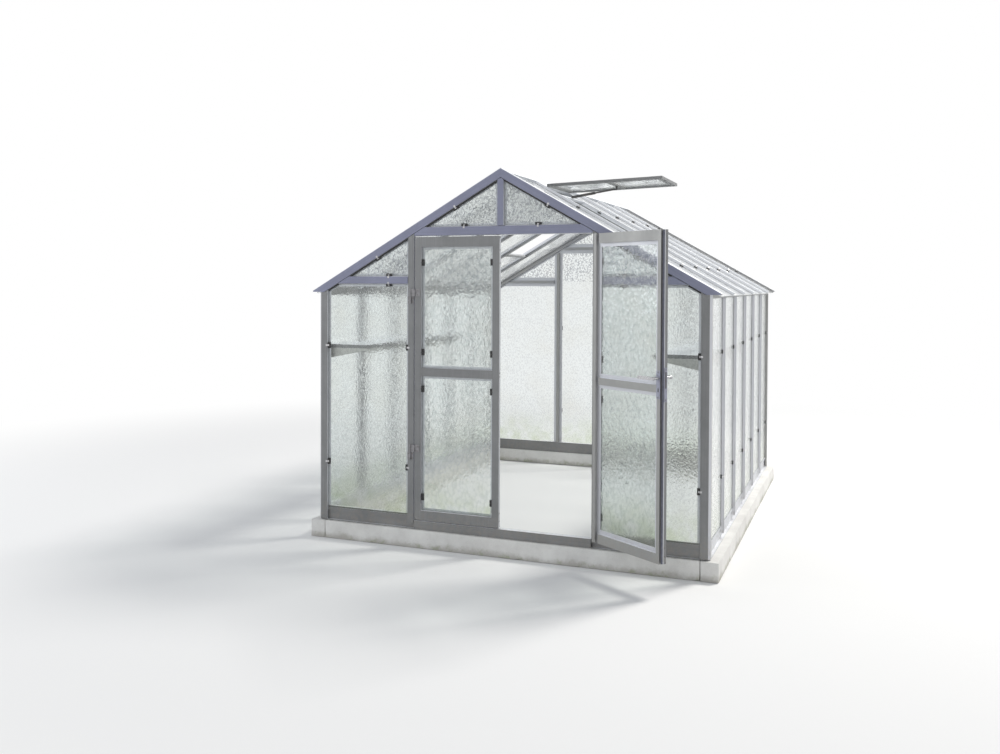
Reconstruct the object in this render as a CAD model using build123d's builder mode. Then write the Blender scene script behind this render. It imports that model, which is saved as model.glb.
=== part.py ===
from build123d import *
from math import atan2, cos, degrees, hypot, radians, sin
import os

# Aluminium greenhouse on a concrete kerb, all sizes in millimetres.
# +X runs to the right, +Y to the back and +Z up. The origin lies on the kerb's underside,
# in the plane of the front frame's outer face, in the middle of the doorway.

# House
bay_pitch = 500
bay_count = 6
end_bar_offset = 22
wall_half_width = 1265
eave_overhang = 53
eave_height = 1610
roof_rise = 750

# Concrete kerb
kerb_height = 115
kerb_width = 105
kerb_side_reach = 52
kerb_front_reach = 18
kerb_rear_reach = 50

# Glass, its seat and the running gap at its edges
glass_thickness = 4
glass_gap = 1.5
seat_gap = 0.3

# Glazing bars: a bevelled cap outside the glass, a ledge and a web behind it
cap_height = 16
cap_bevel = 3
ledge_reach = 15
ledge_thickness = 4
web_depth = 18
web_width = 24
wall_thickness = 2
wall_bar_face = 26
wall_bar_bevel = 8

# Members of the gable walls, as the width of each cap at the glass
door_post_width = 45
king_post_width = 45
header_width = 57
transom_width = 51
corner_post_width = 60
rake_width = 52
corner_depth = 44

# Levels and places in the gable walls
door_half_opening = 577
header_drop = 76
transom_rise = 45
eave_rail_drop = 28
eave_cut_drop = 8

# Base rail
rail_height = 90
rail_depth = 20
rail_lip_thickness = 2
rail_lip_gap = 1
rail_shelf_thickness = 4
rail_lip_drop = 9
glass_seat_drop = 19
member_foot_rise = 35
sill_flange_reach = 18
sill_flange_thickness = 4
sill_height = 55
sill_depth = 42
sill_nose_radius = 1.5

# Ridge
ridge_wing = 60
ridge_web_half = 18
ridge_depth = 95

# Shelves
shelf_top = 1260
shelf_width = 290
shelf_bays = 3
shelf_lip = 22
shelf_sheet = 2
bracket_drop = 70
bracket_tip = 10
bracket_thickness = 4

# Roof vents
right_vent_bay_number = 2
left_vent_bay_number = 5
vent_hinge_distance = 138
vent_length = 752
vent_side_gap = 4
vent_frame_width = 34
vent_frame_depth = 18
vent_open_angle = 31.5
vent_head_width = 70
vent_sill_overlap = 15
vent_sill_width = 30
stay_foot_distance = 250
stay_leaf_distance = 400
stay_rail_width = 24
stay_lug_drop = 18
stay_rod_width = 8
stay_rod_radius = 5
stay_sleeve_width = 14
stay_sleeve_radius = 8

# Doors
door_gap = 6
door_meeting_gap = 8
door_stile = 44
door_top_rail = 62
door_middle_rail = 52
door_bottom_rail = 60
door_middle_height = 1106
door_tube_width = 24
door_tube_inset = 6
right_door_opening = 146

# Door hinges
hinge_setback = 8
hinge_radius = 5.5
pin_radius = 3
pin_clearance = 0.1
knuckle_length = 46
knuckle_gap = 0.5
hinge_plate_width = 40
hinge_plate_reach = 62
hinge_plate_thickness = 2.5
lower_hinge_height = 600
upper_hinge_height = 1579

# Lever and lock of the right door
lever_height = 1163
lever_length = 118
lever_radius = 9
lever_grip = 12
lever_stand = 46
neck_radius = 8
spindle_radius = 5
spindle_clearance = 0.5
backplate_width = 28
backplate_height = 150
backplate_thickness = 3
backplate_drop = 35
keyhole_drop = 71
keyhole_radius = 5
forend_height = 180
forend_width = 20
forend_thickness = 2

# Worked-out places
house_length = bay_count * bay_pitch + 2 * end_bar_offset
eave_half_width = wall_half_width + eave_overhang
apex_height = eave_height + roof_rise
roof_angle = degrees(atan2(roof_rise, eave_half_width))
roof_cos = cos(radians(roof_angle))
roof_sin = sin(radians(roof_angle))
slope_length = hypot(eave_half_width, roof_rise)
glass_face = cap_height
ledge_face = cap_height + glass_thickness
web_face = ledge_face + ledge_thickness
bar_depth = web_face + web_depth
bar_places = [end_bar_offset + i * bay_pitch for i in range(1, bay_count)]
wall_bar_base = wall_bar_face + 2 * wall_bar_bevel
middle_length = house_length / 2
door_post_outer = door_half_opening + door_post_width
hinge_reach = door_post_width / 2
corner_inner = wall_half_width - corner_post_width
roof_slope = roof_rise / eave_half_width
header_bottom = apex_height - roof_slope * door_half_opening - header_drop
header_top = header_bottom + header_width
transom_bottom = eave_height + transom_rise
transom_top = transom_bottom + transom_width
wall_glass_plane = wall_half_width - ledge_face
eave_rail_bottom = eave_height - eave_rail_drop
eave_cut_height = eave_height - eave_cut_drop
member_foot = kerb_height + member_foot_rise
corner_foot = kerb_height + sill_flange_thickness + seat_gap
rail_top = kerb_height + rail_height
glass_foot = rail_top - glass_seat_drop
lip_top = rail_top - rail_lip_drop
sill_top = kerb_height + sill_height
vent_sill_distance = vent_hinge_distance + vent_length - vent_sill_overlap
backplate_centre_height = lever_height - backplate_drop
keyhole_height = lever_height - keyhole_drop
ridge_shoulder_height = apex_height - glass_face / roof_cos - (ridge_web_half + seat_gap) * roof_slope
far_reach = 4000


def roof_point(distance, rise, side=1):
    # Point a distance down the slope from the ridge line and a rise above the outer roof plane.
    x = distance * roof_cos + rise * roof_sin
    z = apex_height - distance * roof_sin + rise * roof_cos
    return (side * x, z)


def gable_plane(y):
    # Upright plane across the house that extrudes towards the front.
    return Plane(origin=(0, y, 0), x_dir=(1, 0, 0), z_dir=(0, -1, 0))


def bar_plane(x, y, z, outward):
    # Level plane on a bar's outer face with its y axis pointing out of the wall.
    out = Vector(*outward)
    return Plane(origin=(x, y, z), x_dir=out.cross(Vector(0, 0, 1)), z_dir=(0, 0, 1))


def bar_section(width, bevel, left=ledge_reach, right=ledge_reach):
    # Hollow glazing bar: y points out of the wall and the outer face lies at zero.
    half = width / 2
    face = half - bevel
    with BuildSketch() as section:
        Polygon((-face, 0), (face, 0), (half, -cap_height), (half, -ledge_face),
                (-half, -ledge_face), (-half, -cap_height), align=None)
        with Locations(((right - left) / 2, -ledge_face)):
            Rectangle(width + left + right, ledge_thickness, align=(Align.CENTER, Align.MAX))
        with Locations((0, -web_face)):
            Rectangle(web_width, web_depth, align=(Align.CENTER, Align.MAX))
            Rectangle(web_width - 2 * wall_thickness, web_depth - wall_thickness,
                      align=(Align.CENTER, Align.MAX), mode=Mode.SUBTRACT)
        with Locations((0, -wall_thickness)):
            Rectangle(2 * (face - wall_thickness), ledge_face - 2 * wall_thickness,
                      align=(Align.CENTER, Align.MAX), mode=Mode.SUBTRACT)
    return section.sketch


def above_roof_line(drop):
    # Everything above the line that lies a drop below the outer roof plane.
    with BuildSketch() as region:
        Polygon((0, apex_height - drop / roof_cos), roof_point(far_reach, -drop),
                (far_reach, far_reach), (-far_reach, far_reach),
                roof_point(far_reach, -drop, side=-1), align=None)
    return region.sketch


def finish(piece, name):
    piece.part.label = name
    export_step(piece.part, f"parts/{name}.step")


def mirror_to_rear():
    # Adds the same members in the rear wall.
    mirror(about=Plane.XZ.offset(-middle_length))


os.makedirs("parts", exist_ok=True)

# Room for the slanted rakes at the tops of the front members: first the whole of them, then the ledge.
with BuildPart() as rake_room:
    for drop, front in ((rake_width + seat_gap, -far_reach), (rake_width + ledge_reach + seat_gap, glass_face)):
        with BuildSketch(gable_plane(far_reach)):
            add(above_roof_line(drop))
        extrude(amount=far_reach - front)

# The same room for the corner posts, which stand right under the level cut at the feet of the rakes.
with BuildPart() as rake_foot_room:
    add(rake_room.part)
    with Locations((0, 0, eave_cut_height - seat_gap)):
        Box(2 * far_reach, 2 * far_reach, 2 * far_reach, align=(Align.CENTER, Align.CENTER, Align.MAX),
            mode=Mode.SUBTRACT)

# Room for the base rails behind the feet of the uprights.
lip_room = glass_face - rail_lip_gap - rail_lip_thickness - seat_gap
with BuildPart() as rail_room:
    with Locations((0, lip_room, 0)):
        Box(2 * (wall_half_width - lip_room), house_length - 2 * lip_room, 2 * (rail_top + seat_gap),
            align=(Align.CENTER, Align.MIN, Align.CENTER))

# Kerb of four concrete lengths; the side lengths run through to both ends.
kerb_outer = wall_half_width + kerb_side_reach
kerb_length = house_length + kerb_front_reach + kerb_rear_reach
with BuildPart() as side_kerbs:
    with Locations((kerb_outer, -kerb_front_reach, 0)):
        Box(kerb_width, kerb_length, kerb_height, align=(Align.MAX, Align.MIN, Align.MIN))
    mirror(about=Plane.YZ)
finish(side_kerbs, "side_kerbs")

end_kerb_length = 2 * (kerb_outer - kerb_width)
with BuildPart() as front_kerb:
    with Locations((0, -kerb_front_reach, 0)):
        Box(end_kerb_length, kerb_width, kerb_height, align=(Align.CENTER, Align.MIN, Align.MIN))
finish(front_kerb, "front_kerb")

with BuildPart() as rear_kerb:
    with Locations((0, house_length + kerb_rear_reach, 0)):
        Box(end_kerb_length, kerb_width, kerb_height, align=(Align.CENTER, Align.MAX, Align.MIN))
finish(rear_kerb, "rear_kerb")


def base_rail_section():
    # Rail seen from its end: x points out of the wall and y up, with the outer cap face at zero.
    web = -ledge_face
    lip = -(glass_face - rail_lip_gap - rail_lip_thickness)
    with BuildSketch() as section:
        Polygon((web - rail_depth, kerb_height), (web + sill_flange_reach, kerb_height),
                (web + sill_flange_reach, kerb_height + sill_flange_thickness),
                (web, kerb_height + sill_flange_thickness), (web, glass_foot - rail_shelf_thickness),
                (lip, glass_foot - rail_shelf_thickness), (lip, lip_top),
                (lip - rail_lip_thickness, lip_top), (lip - rail_lip_thickness, glass_foot),
                (web, glass_foot), (web, rail_top), (web - rail_depth, rail_top), align=None)
        with Locations((web - rail_depth / 2, (rail_top + kerb_height) / 2)):
            Rectangle(rail_depth - 2 * wall_thickness, rail_top - kerb_height - 2 * wall_thickness,
                      mode=Mode.SUBTRACT)
    return section.sketch


rail_inner = wall_half_width - ledge_face - rail_depth
with BuildPart() as side_base_rails:
    with BuildSketch(Plane(origin=(wall_half_width, ledge_face, 0), x_dir=(1, 0, 0), z_dir=(0, -1, 0))):
        add(base_rail_section())
    extrude(amount=-(house_length - 2 * ledge_face))
    mirror(about=Plane.YZ)
finish(side_base_rails, "side_base_rails")

with BuildPart() as front_base_rails:
    with BuildSketch(Plane(origin=(door_half_opening, 0, 0), x_dir=(0, -1, 0), z_dir=(-1, 0, 0))):
        add(base_rail_section())
    extrude(amount=-(rail_inner - seat_gap - door_half_opening))
    mirror(about=Plane.YZ)
finish(front_base_rails, "front_base_rails")

with BuildPart() as rear_base_rail:
    with BuildSketch(Plane(origin=(rail_inner - seat_gap, house_length, 0), x_dir=(0, 1, 0), z_dir=(1, 0, 0))):
        add(base_rail_section())
    extrude(amount=-2 * (rail_inner - seat_gap))
finish(rear_base_rail, "rear_base_rail")

# Threshold between the two front rails, a channel with a rounded nose.
with BuildPart() as door_sill:
    with BuildSketch(Plane.YZ.offset(-door_half_opening + seat_gap)):
        with Locations((0, kerb_height)):
            Rectangle(sill_depth, sill_top - kerb_height, align=(Align.MIN, Align.MIN))
        with Locations((sill_depth / 2, kerb_height)):
            Rectangle(sill_depth - 2 * wall_thickness, sill_top - kerb_height - wall_thickness,
                      align=(Align.CENTER, Align.MIN), mode=Mode.SUBTRACT)
    extrude(amount=2 * (door_half_opening - seat_gap))
    sill_nose = door_sill.edges().filter_by(Axis.X).group_by(Axis.Z)[-1].sort_by(Axis.Y)[0]
    fillet(sill_nose, sill_nose_radius)
finish(door_sill, "door_sill")


# Corner posts: a hollow box with a bevelled outer corner and a ledge for each pane.
with BuildPart() as corner_posts:
    with BuildSketch(Plane.XY.offset(corner_foot)):
        with BuildLine():
            Polyline((corner_inner + cap_bevel, 0), (wall_half_width - cap_height + cap_bevel, 0),
                     (wall_half_width, cap_height - cap_bevel), (wall_half_width, corner_depth - cap_bevel),
                     (wall_half_width - cap_height, corner_depth), (corner_inner, corner_depth),
                     (corner_inner, cap_height), close=True)
        make_face()
        with Locations((corner_inner, ledge_face)):
            Rectangle(ledge_reach, ledge_thickness, align=(Align.MAX, Align.MIN))
        with Locations((wall_glass_plane, corner_depth)):
            Rectangle(ledge_thickness, ledge_reach, align=(Align.MAX, Align.MIN))
        with Locations((corner_inner + 3 * wall_thickness, 3 * wall_thickness)):
            Rectangle(corner_post_width - cap_height - 2 * wall_thickness,
                      corner_depth - 5 * wall_thickness, align=(Align.MIN, Align.MIN), mode=Mode.SUBTRACT)
    extrude(amount=transom_bottom - corner_foot)
    add(rake_foot_room.part, mode=Mode.SUBTRACT)
    add(rail_room.part, mode=Mode.SUBTRACT)
    with Locations((wall_half_width, corner_depth, eave_rail_bottom)):
        Box(corner_post_width, corner_depth, transom_bottom - eave_rail_bottom,
            align=(Align.MAX, Align.MIN, Align.MIN), mode=Mode.SUBTRACT)
    mirror(about=Plane.YZ)
    mirror_to_rear()
finish(corner_posts, "corner_posts")


# Posts beside the doorway, with a ledge on the glass side only.
with BuildPart() as door_posts:
    post_middle = door_half_opening + hinge_reach
    with BuildSketch(bar_plane(post_middle, 0, member_foot, (0, -1, 0))):
        add(bar_section(door_post_width, cap_bevel, left=ledge_reach, right=0))
    extrude(amount=apex_height - member_foot)
    add(rake_room.part, mode=Mode.SUBTRACT)
    add(rail_room.part, mode=Mode.SUBTRACT)
    mirror(about=Plane.YZ)
finish(door_posts, "door_posts")

# Posts of the rear wall: two in line with the door posts and one in the middle.
with BuildPart() as rear_posts:
    for x in (-post_middle, post_middle):
        with BuildSketch(bar_plane(x, 0, member_foot, (0, -1, 0))):
            add(bar_section(door_post_width, cap_bevel))
        extrude(amount=apex_height - member_foot)
    add(rake_room.part, mode=Mode.SUBTRACT)
    with BuildSketch(bar_plane(0, 0, member_foot, (0, -1, 0))):
        add(bar_section(king_post_width, cap_bevel))
    extrude(amount=header_bottom - seat_gap - member_foot)
    with Locations((0, glass_face, header_bottom)):
        Box(king_post_width + 3 * ledge_reach, far_reach, 2 * (ledge_reach + seat_gap),
            align=(Align.CENTER, Align.MIN, Align.CENTER), mode=Mode.SUBTRACT)
    add(rail_room.part, mode=Mode.SUBTRACT)
    mirror(about=Plane.XZ.offset(-middle_length), mode=Mode.REPLACE)
finish(rear_posts, "rear_posts")


def cross_bar(low, width, below=ledge_reach):
    # Level bar across the front wall from the middle to the corner post, before its ends are cut.
    with BuildPart() as bar:
        with BuildSketch(Plane(origin=(0, 0, low + width / 2), x_dir=(0, 0, 1), z_dir=(1, 0, 0))):
            add(bar_section(width, cap_bevel, left=below))
        extrude(amount=corner_inner)
        add(rake_room.part, mode=Mode.SUBTRACT)
    return bar.part


def header_bar(below):
    # Header between the posts, with its upper corners cut back under the rakes.
    with BuildPart() as bar:
        add(cross_bar(header_bottom, header_width, below))
        with Locations((door_half_opening - seat_gap, 0, 0)):
            Box(far_reach, far_reach, 2 * far_reach, align=(Align.MIN, Align.CENTER, Align.CENTER),
                mode=Mode.SUBTRACT)
        if below:
            with Locations((door_half_opening - ledge_reach - seat_gap, glass_face, 0)):
                Box(far_reach, far_reach, 2 * far_reach, align=(Align.MIN, Align.MIN, Align.CENTER),
                    mode=Mode.SUBTRACT)
        mirror(about=Plane.YZ)
        if below:
            mirror(about=Plane.XZ.offset(-middle_length), mode=Mode.REPLACE)
    return bar


finish(header_bar(below=0), "front_header")
finish(header_bar(below=ledge_reach), "rear_header")

# Transoms between the side posts and the rakes.
with BuildPart() as transoms:
    add(cross_bar(transom_bottom, transom_width))
    Box(2 * (door_post_outer + seat_gap), far_reach, 2 * far_reach, mode=Mode.SUBTRACT)
    with Locations((0, glass_face, 0)):
        Box(2 * (door_post_outer + ledge_reach + seat_gap), far_reach, 2 * far_reach,
            align=(Align.CENTER, Align.MIN, Align.CENTER), mode=Mode.SUBTRACT)
    mirror(about=Plane.YZ)
    mirror_to_rear()
finish(transoms, "transoms")

# Short posts from the headers to the apex.
with BuildPart() as king_posts:
    with BuildSketch(bar_plane(0, 0, header_top + seat_gap, (0, -1, 0))):
        add(bar_section(king_post_width, cap_bevel))
    extrude(amount=apex_height - header_top)
    add(rake_room.part, mode=Mode.SUBTRACT)
    with Locations((0, glass_face, header_top)):
        Box(far_reach, far_reach, 2 * (ledge_reach + seat_gap),
            align=(Align.CENTER, Align.MIN, Align.CENTER), mode=Mode.SUBTRACT)
    mirror_to_rear()
finish(king_posts, "king_posts")

# Sloping corner bars of the gables, hollow, with a ledge for the gable glass and one for the roof glass.
with BuildPart() as gable_rafters:
    with BuildSketch(Plane(origin=(0, 0, apex_height), x_dir=(0, 1, 0), z_dir=(roof_cos, 0, -roof_sin))):
        with BuildLine():
            Polyline((cap_bevel, 0), (corner_depth - cap_bevel, 0), (corner_depth, -cap_height),
                     (corner_depth, -rake_width), (cap_height, -rake_width),
                     (0, -rake_width + cap_bevel), (0, -cap_bevel), close=True)
        make_face()
        with Locations((ledge_face, -rake_width)):
            Rectangle(ledge_thickness, ledge_reach, align=(Align.MIN, Align.MAX))
        with Locations((corner_depth, -ledge_face)):
            Rectangle(ledge_reach, ledge_thickness, align=(Align.MIN, Align.MAX))
        with Locations((corner_depth / 2, -rake_width / 2)):
            Rectangle(corner_depth - 5 * wall_thickness, rake_width - 5 * wall_thickness, mode=Mode.SUBTRACT)
    extrude(amount=slope_length, both=True)
    # The pair meets in a mitre at the ridge and is cut level at the eaves.
    with Locations((seat_gap / 2, 0, apex_height)):
        Box(far_reach, far_reach, far_reach, align=(Align.MAX, Align.CENTER, Align.CENTER), mode=Mode.SUBTRACT)
    with Locations((0, 0, eave_cut_height)):
        Box(far_reach, far_reach, far_reach, align=(Align.CENTER, Align.CENTER, Align.MAX), mode=Mode.SUBTRACT)
    with Locations((0, corner_depth, apex_height)):
        Box(2 * (ridge_web_half + seat_gap), ledge_reach, 2 * ridge_depth,
            align=(Align.CENTER, Align.MIN, Align.CENTER), mode=Mode.SUBTRACT)
    with Locations((wall_half_width - bar_depth + ledge_thickness - seat_gap, corner_depth, eave_height)):
        Box(far_reach, ledge_reach, far_reach, align=(Align.MIN, Align.MIN, Align.CENTER), mode=Mode.SUBTRACT)
    mirror(about=Plane.YZ)
    mirror_to_rear()
finish(gable_rafters, "gable_rafters")


def wall_bars(side):
    # Upright glazing bars of one side wall.
    with BuildPart() as bars:
        for y in bar_places:
            with BuildSketch(bar_plane(side * wall_half_width, y, member_foot, (side, 0, 0))):
                add(bar_section(wall_bar_base, wall_bar_bevel))
            extrude(amount=eave_rail_bottom - member_foot)
        add(rail_room.part, mode=Mode.SUBTRACT)
    return bars


def roof_bars(side):
    # Sloping glazing bars of one roof slope, from the ridge to the eave, notched over the eave rail.
    with BuildPart() as bars:
        for y in bar_places:
            end = Plane(origin=(0, y, apex_height), x_dir=(0, side, 0), z_dir=(side * roof_cos, 0, -roof_sin))
            with BuildSketch(end):
                add(bar_section(wall_bar_base, wall_bar_bevel))
            extrude(amount=slope_length)
        eave_x = side * (wall_half_width - bar_depth + ledge_thickness - seat_gap)
        with BuildSketch(Plane.XZ.offset(-house_length)):
            with BuildLine():
                outer = slope_length + bar_depth
                Polyline((eave_x, 0), (eave_x, apex_height - abs(eave_x) * roof_sin / roof_cos - ledge_face / roof_cos),
                         roof_point(outer, -ledge_face, side), (side * far_reach, 0), close=True)
            make_face()
        extrude(amount=house_length, mode=Mode.SUBTRACT)
        with BuildSketch(Plane.XZ.offset(-house_length)):
            with BuildLine():
                Polyline(roof_point(ridge_wing + seat_gap, bar_depth, side),
                         roof_point(ridge_wing + seat_gap, -glass_face, side),
                         (side * (ridge_web_half + seat_gap), ridge_shoulder_height),
                         (side * (ridge_web_half + seat_gap), 0), (-side * bar_depth, 0),
                         (-side * bar_depth, apex_height + bar_depth), close=True)
            make_face()
        extrude(amount=house_length, mode=Mode.SUBTRACT)
    return bars


# Ridge beam: two wings over the top edge of the roof glass and a web between the bars.
ridge_start = max(corner_depth, bar_depth) + seat_gap
with BuildPart() as ridge_beam:
    with BuildSketch(Plane.XZ.offset(ridge_start - house_length)):
        with BuildLine():
            wing_top = roof_point(ridge_wing, 0)
            wing_under = roof_point(ridge_wing, -glass_face + seat_gap)
            shoulder = (ridge_web_half, ridge_shoulder_height + seat_gap)
            web_foot = (ridge_web_half, apex_height - ridge_depth)
            Polyline((0, apex_height), wing_top, wing_under, shoulder, web_foot, (0, web_foot[1]), close=True)
        make_face()
        mirror(about=Plane.YZ)
        with Locations((0, apex_height - ridge_depth + wall_thickness)):
            Rectangle(2 * (ridge_web_half - wall_thickness), ridge_depth - 2 * cap_height,
                      align=(Align.CENTER, Align.MIN), mode=Mode.SUBTRACT)
    extrude(amount=house_length - 2 * ridge_start)
finish(ridge_beam, "ridge_beam")

# Eave rails along the tops of the side walls, bevelled to the slope.
eave_inner = wall_half_width - bar_depth + ledge_thickness
eave_seat_drop = (ledge_face + seat_gap) / roof_cos
outer_seat_height = apex_height - wall_half_width * roof_slope - eave_seat_drop
inner_seat_height = apex_height - eave_inner * roof_slope - eave_seat_drop
with BuildPart() as eave_rails:
    with BuildSketch(Plane.XZ.offset(-(house_length - corner_depth - seat_gap))):
        with BuildLine():
            Polyline((eave_inner, eave_rail_bottom), (wall_half_width, eave_rail_bottom),
                     (wall_half_width, outer_seat_height), (eave_inner, inner_seat_height),
                     close=True)
        make_face()
        hollow_half = (wall_half_width - eave_inner) / 2 - wall_thickness
        with Locations(((eave_inner + wall_half_width) / 2, eave_rail_bottom + wall_thickness)):
            Rectangle(2 * hollow_half, outer_seat_height - eave_rail_bottom - 2 * wall_thickness,
                      align=(Align.CENTER, Align.MIN), mode=Mode.SUBTRACT)
    extrude(amount=house_length - 2 * (corner_depth + seat_gap))
    mirror(about=Plane.YZ)
finish(eave_rails, "eave_rails")

for side, name in ((-1, "left"), (1, "right")):
    finish(wall_bars(side), f"{name}_mullions")
    finish(roof_bars(side), f"{name}_rafters")

# Glass of the gable walls. Each pane lies on the ledges, between the caps.
post_glass_edge = door_post_outer + glass_gap
corner_glass_edge = corner_inner - glass_gap


def gable_panes(with_middle):
    # Outlines of the panes in one gable wall, cut under the rakes.
    king_half = king_post_width / 2 + glass_gap
    tall = (glass_foot, transom_bottom - glass_gap)
    panes = [(post_glass_edge, corner_glass_edge, *tall),
             (post_glass_edge, corner_glass_edge, transom_top + glass_gap, apex_height),
             (king_half, door_half_opening, header_top + glass_gap, apex_height)]
    if with_middle:
        panes.append((king_half, door_half_opening - glass_gap, glass_foot, header_bottom - glass_gap))
    drop = rake_width + glass_gap
    with BuildSketch() as outlines:
        for left, right, low, high in panes:
            with Locations(((left + right) / 2, (low + high) / 2)):
                Rectangle(right - left, high - low)
        mirror(about=Plane.YZ)
        add(above_roof_line(drop), mode=Mode.SUBTRACT)
    return outlines.sketch


with BuildPart() as front_glass:
    with BuildSketch(gable_plane(ledge_face)):
        add(gable_panes(with_middle=False))
    extrude(amount=glass_thickness)
finish(front_glass, "front_glass")

with BuildPart() as rear_glass:
    with BuildSketch(gable_plane(house_length - glass_face)):
        add(gable_panes(with_middle=True))
    extrude(amount=glass_thickness)
finish(rear_glass, "rear_glass")

# Glass of the side walls and the roof, one pane a bay.
bay_edges = [corner_depth] + [y for bar in bar_places for y in (bar - wall_bar_base / 2, bar + wall_bar_base / 2)]
bay_edges.append(house_length - corner_depth)
bays = [(bay_edges[2 * i] + glass_gap, bay_edges[2 * i + 1] - glass_gap) for i in range(bay_count)]


def wall_glass(side):
    with BuildPart() as glass:
        outer = side * (wall_half_width - glass_face)
        with BuildSketch(Plane(origin=(outer, 0, 0), x_dir=(0, 1, 0), z_dir=(1, 0, 0))):
            for low, high in bays:
                with Locations(((low + high) / 2, glass_foot)):
                    Rectangle(high - low, eave_rail_bottom - glass_gap - glass_foot,
                              align=(Align.CENTER, Align.MIN))
        extrude(amount=-side * glass_thickness)
    return glass


def roof_glass(side, vent_bay):
    with BuildPart() as glass:
        top = Plane(origin=(0, 0, apex_height), x_dir=(side * roof_cos, 0, -roof_sin),
                    z_dir=(side * roof_sin, 0, roof_cos))
        with BuildSketch(top.offset(-ledge_face)):
            for number, (low, high) in enumerate(bays, start=1):
                start = (ridge_web_half + glass_gap + ledge_face * roof_sin) / roof_cos
                if number == vent_bay:
                    start = vent_sill_distance
                across = side * (low + high) / 2
                with Locations(((start + slope_length) / 2, across)):
                    Rectangle(slope_length - start, high - low)
        extrude(amount=glass_thickness)
    return glass


for side, name, vent_bay in ((-1, "left", left_vent_bay_number), (1, "right", right_vent_bay_number)):
    finish(wall_glass(side), f"{name}_wall_glass")
    finish(roof_glass(side, vent_bay), f"{name}_roof_glass")


def vent_bay_limits(bay):
    # Clear width between the caps on both sides of a bay.
    return bay_edges[2 * bay - 2], bay_edges[2 * bay - 1]


def vent_leaf_plane(side, bay):
    # Plane of an open vent's underside, with its origin at the middle of the hinged edge.
    low, high = vent_bay_limits(bay)
    x, z = roof_point(vent_hinge_distance, seat_gap, side)
    tilt = radians(roof_angle - vent_open_angle)
    return Plane(origin=(x, (low + high) / 2, z), x_dir=(side * cos(tilt), 0, -sin(tilt)),
                 z_dir=(side * sin(tilt), 0, cos(tilt)))


vent_width = bay_pitch - 2 * vent_side_gap

# Rails across the vent bays: a broad head next to the ridge, one under the stay's foot and a sill under
# the pane below.
with BuildPart() as vent_rails:
    for side, bay in ((-1, left_vent_bay_number), (1, right_vent_bay_number)):
        low, high = vent_bay_limits(bay)
        rail_length = high - low - 2 * seat_gap
        slope = Plane(origin=(0, (low + high) / 2, apex_height), x_dir=(side * roof_cos, 0, -roof_sin),
                      z_dir=(side * roof_sin, 0, roof_cos))
        with BuildSketch(slope.offset(-glass_face)):
            with Locations((ridge_wing + seat_gap + vent_head_width / 2, 0)):
                Rectangle(vent_head_width, rail_length)
            with Locations((stay_foot_distance, 0)):
                Rectangle(stay_rail_width, rail_length)
        extrude(amount=glass_face - wall_thickness)
        with BuildSketch(slope.offset(-ledge_face - seat_gap)):
            with Locations((vent_sill_distance, 0)):
                Rectangle(vent_sill_width, rail_length - 2 * ledge_reach)
        extrude(amount=-web_depth)
finish(vent_rails, "vent_rails")


def vent_frame(side, bay):
    # Frame of an open vent, with a rail across its underside for the stay.
    with BuildPart() as frame:
        plane = vent_leaf_plane(side, bay)
        with BuildSketch(plane):
            with Locations((vent_length / 2, 0)):
                Rectangle(vent_length, vent_width)
                Rectangle(vent_length - 2 * vent_frame_width, vent_width - 2 * vent_frame_width,
                          mode=Mode.SUBTRACT)
            with Locations((stay_leaf_distance, 0)):
                Rectangle(stay_rail_width, vent_width - vent_frame_width)
        extrude(amount=vent_frame_depth)
        with BuildSketch(plane.offset(vent_frame_depth - glass_thickness - ledge_thickness)):
            with Locations((vent_length / 2, 0)):
                Rectangle(vent_length - vent_frame_width, vent_width - vent_frame_width)
        extrude(amount=glass_thickness + ledge_thickness, mode=Mode.SUBTRACT)
    return frame


for side, name, bay in ((-1, "left", left_vent_bay_number), (1, "right", right_vent_bay_number)):
    finish(vent_frame(side, bay), f"{name}_vent_frame")

with BuildPart() as vent_glass:
    for side, bay in ((-1, left_vent_bay_number), (1, right_vent_bay_number)):
        plane = vent_leaf_plane(side, bay)
        with BuildSketch(plane.offset(vent_frame_depth - glass_thickness - ledge_thickness)):
            with Locations((vent_length / 2, 0)):
                Rectangle(vent_length - vent_frame_width - 2 * glass_gap,
                          vent_width - vent_frame_width - 2 * glass_gap)
        extrude(amount=glass_thickness)
finish(vent_glass, "vent_glass")

# A stay in the middle of each vent: a rod that slides in a sleeve, pinned to a lug under the leaf.
with BuildPart() as vent_stays:
    for side, bay in ((-1, left_vent_bay_number), (1, right_vent_bay_number)):
        leaf = vent_leaf_plane(side, bay)
        foot_x, foot_z = roof_point(stay_foot_distance, stay_sleeve_radius + seat_gap - wall_thickness, side)
        top = leaf.from_local_coords((stay_leaf_distance, 0, -stay_lug_drop))
        run = hypot(top.X - foot_x, top.Z - foot_z)
        along = ((top.X - foot_x) / run, 0, (top.Z - foot_z) / run)
        for length, radius, width in ((run, stay_rod_radius, stay_rod_width),
                                      (run / 2, stay_sleeve_radius, stay_sleeve_width)):
            with BuildSketch(Plane(origin=(foot_x, top.Y, foot_z), x_dir=along, z_dir=(0, -1, 0))):
                with Locations((length / 2, 0)):
                    SlotCenterToCenter(length, 2 * radius)
            extrude(amount=width / 2, both=True)
        with BuildSketch(leaf.offset(-seat_gap)):
            with Locations((stay_leaf_distance, 0)):
                Rectangle(2 * stay_rod_radius, stay_rod_width)
        extrude(amount=seat_gap - stay_lug_drop)
finish(vent_stays, "vent_stays")

# Shelves: folded trays on triangular brackets along both side walls.
shelf_outer = wall_half_width - bar_depth - seat_gap
shelf_start = corner_depth + seat_gap
shelf_length = end_bar_offset + shelf_bays * bay_pitch + web_width - shelf_start


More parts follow.
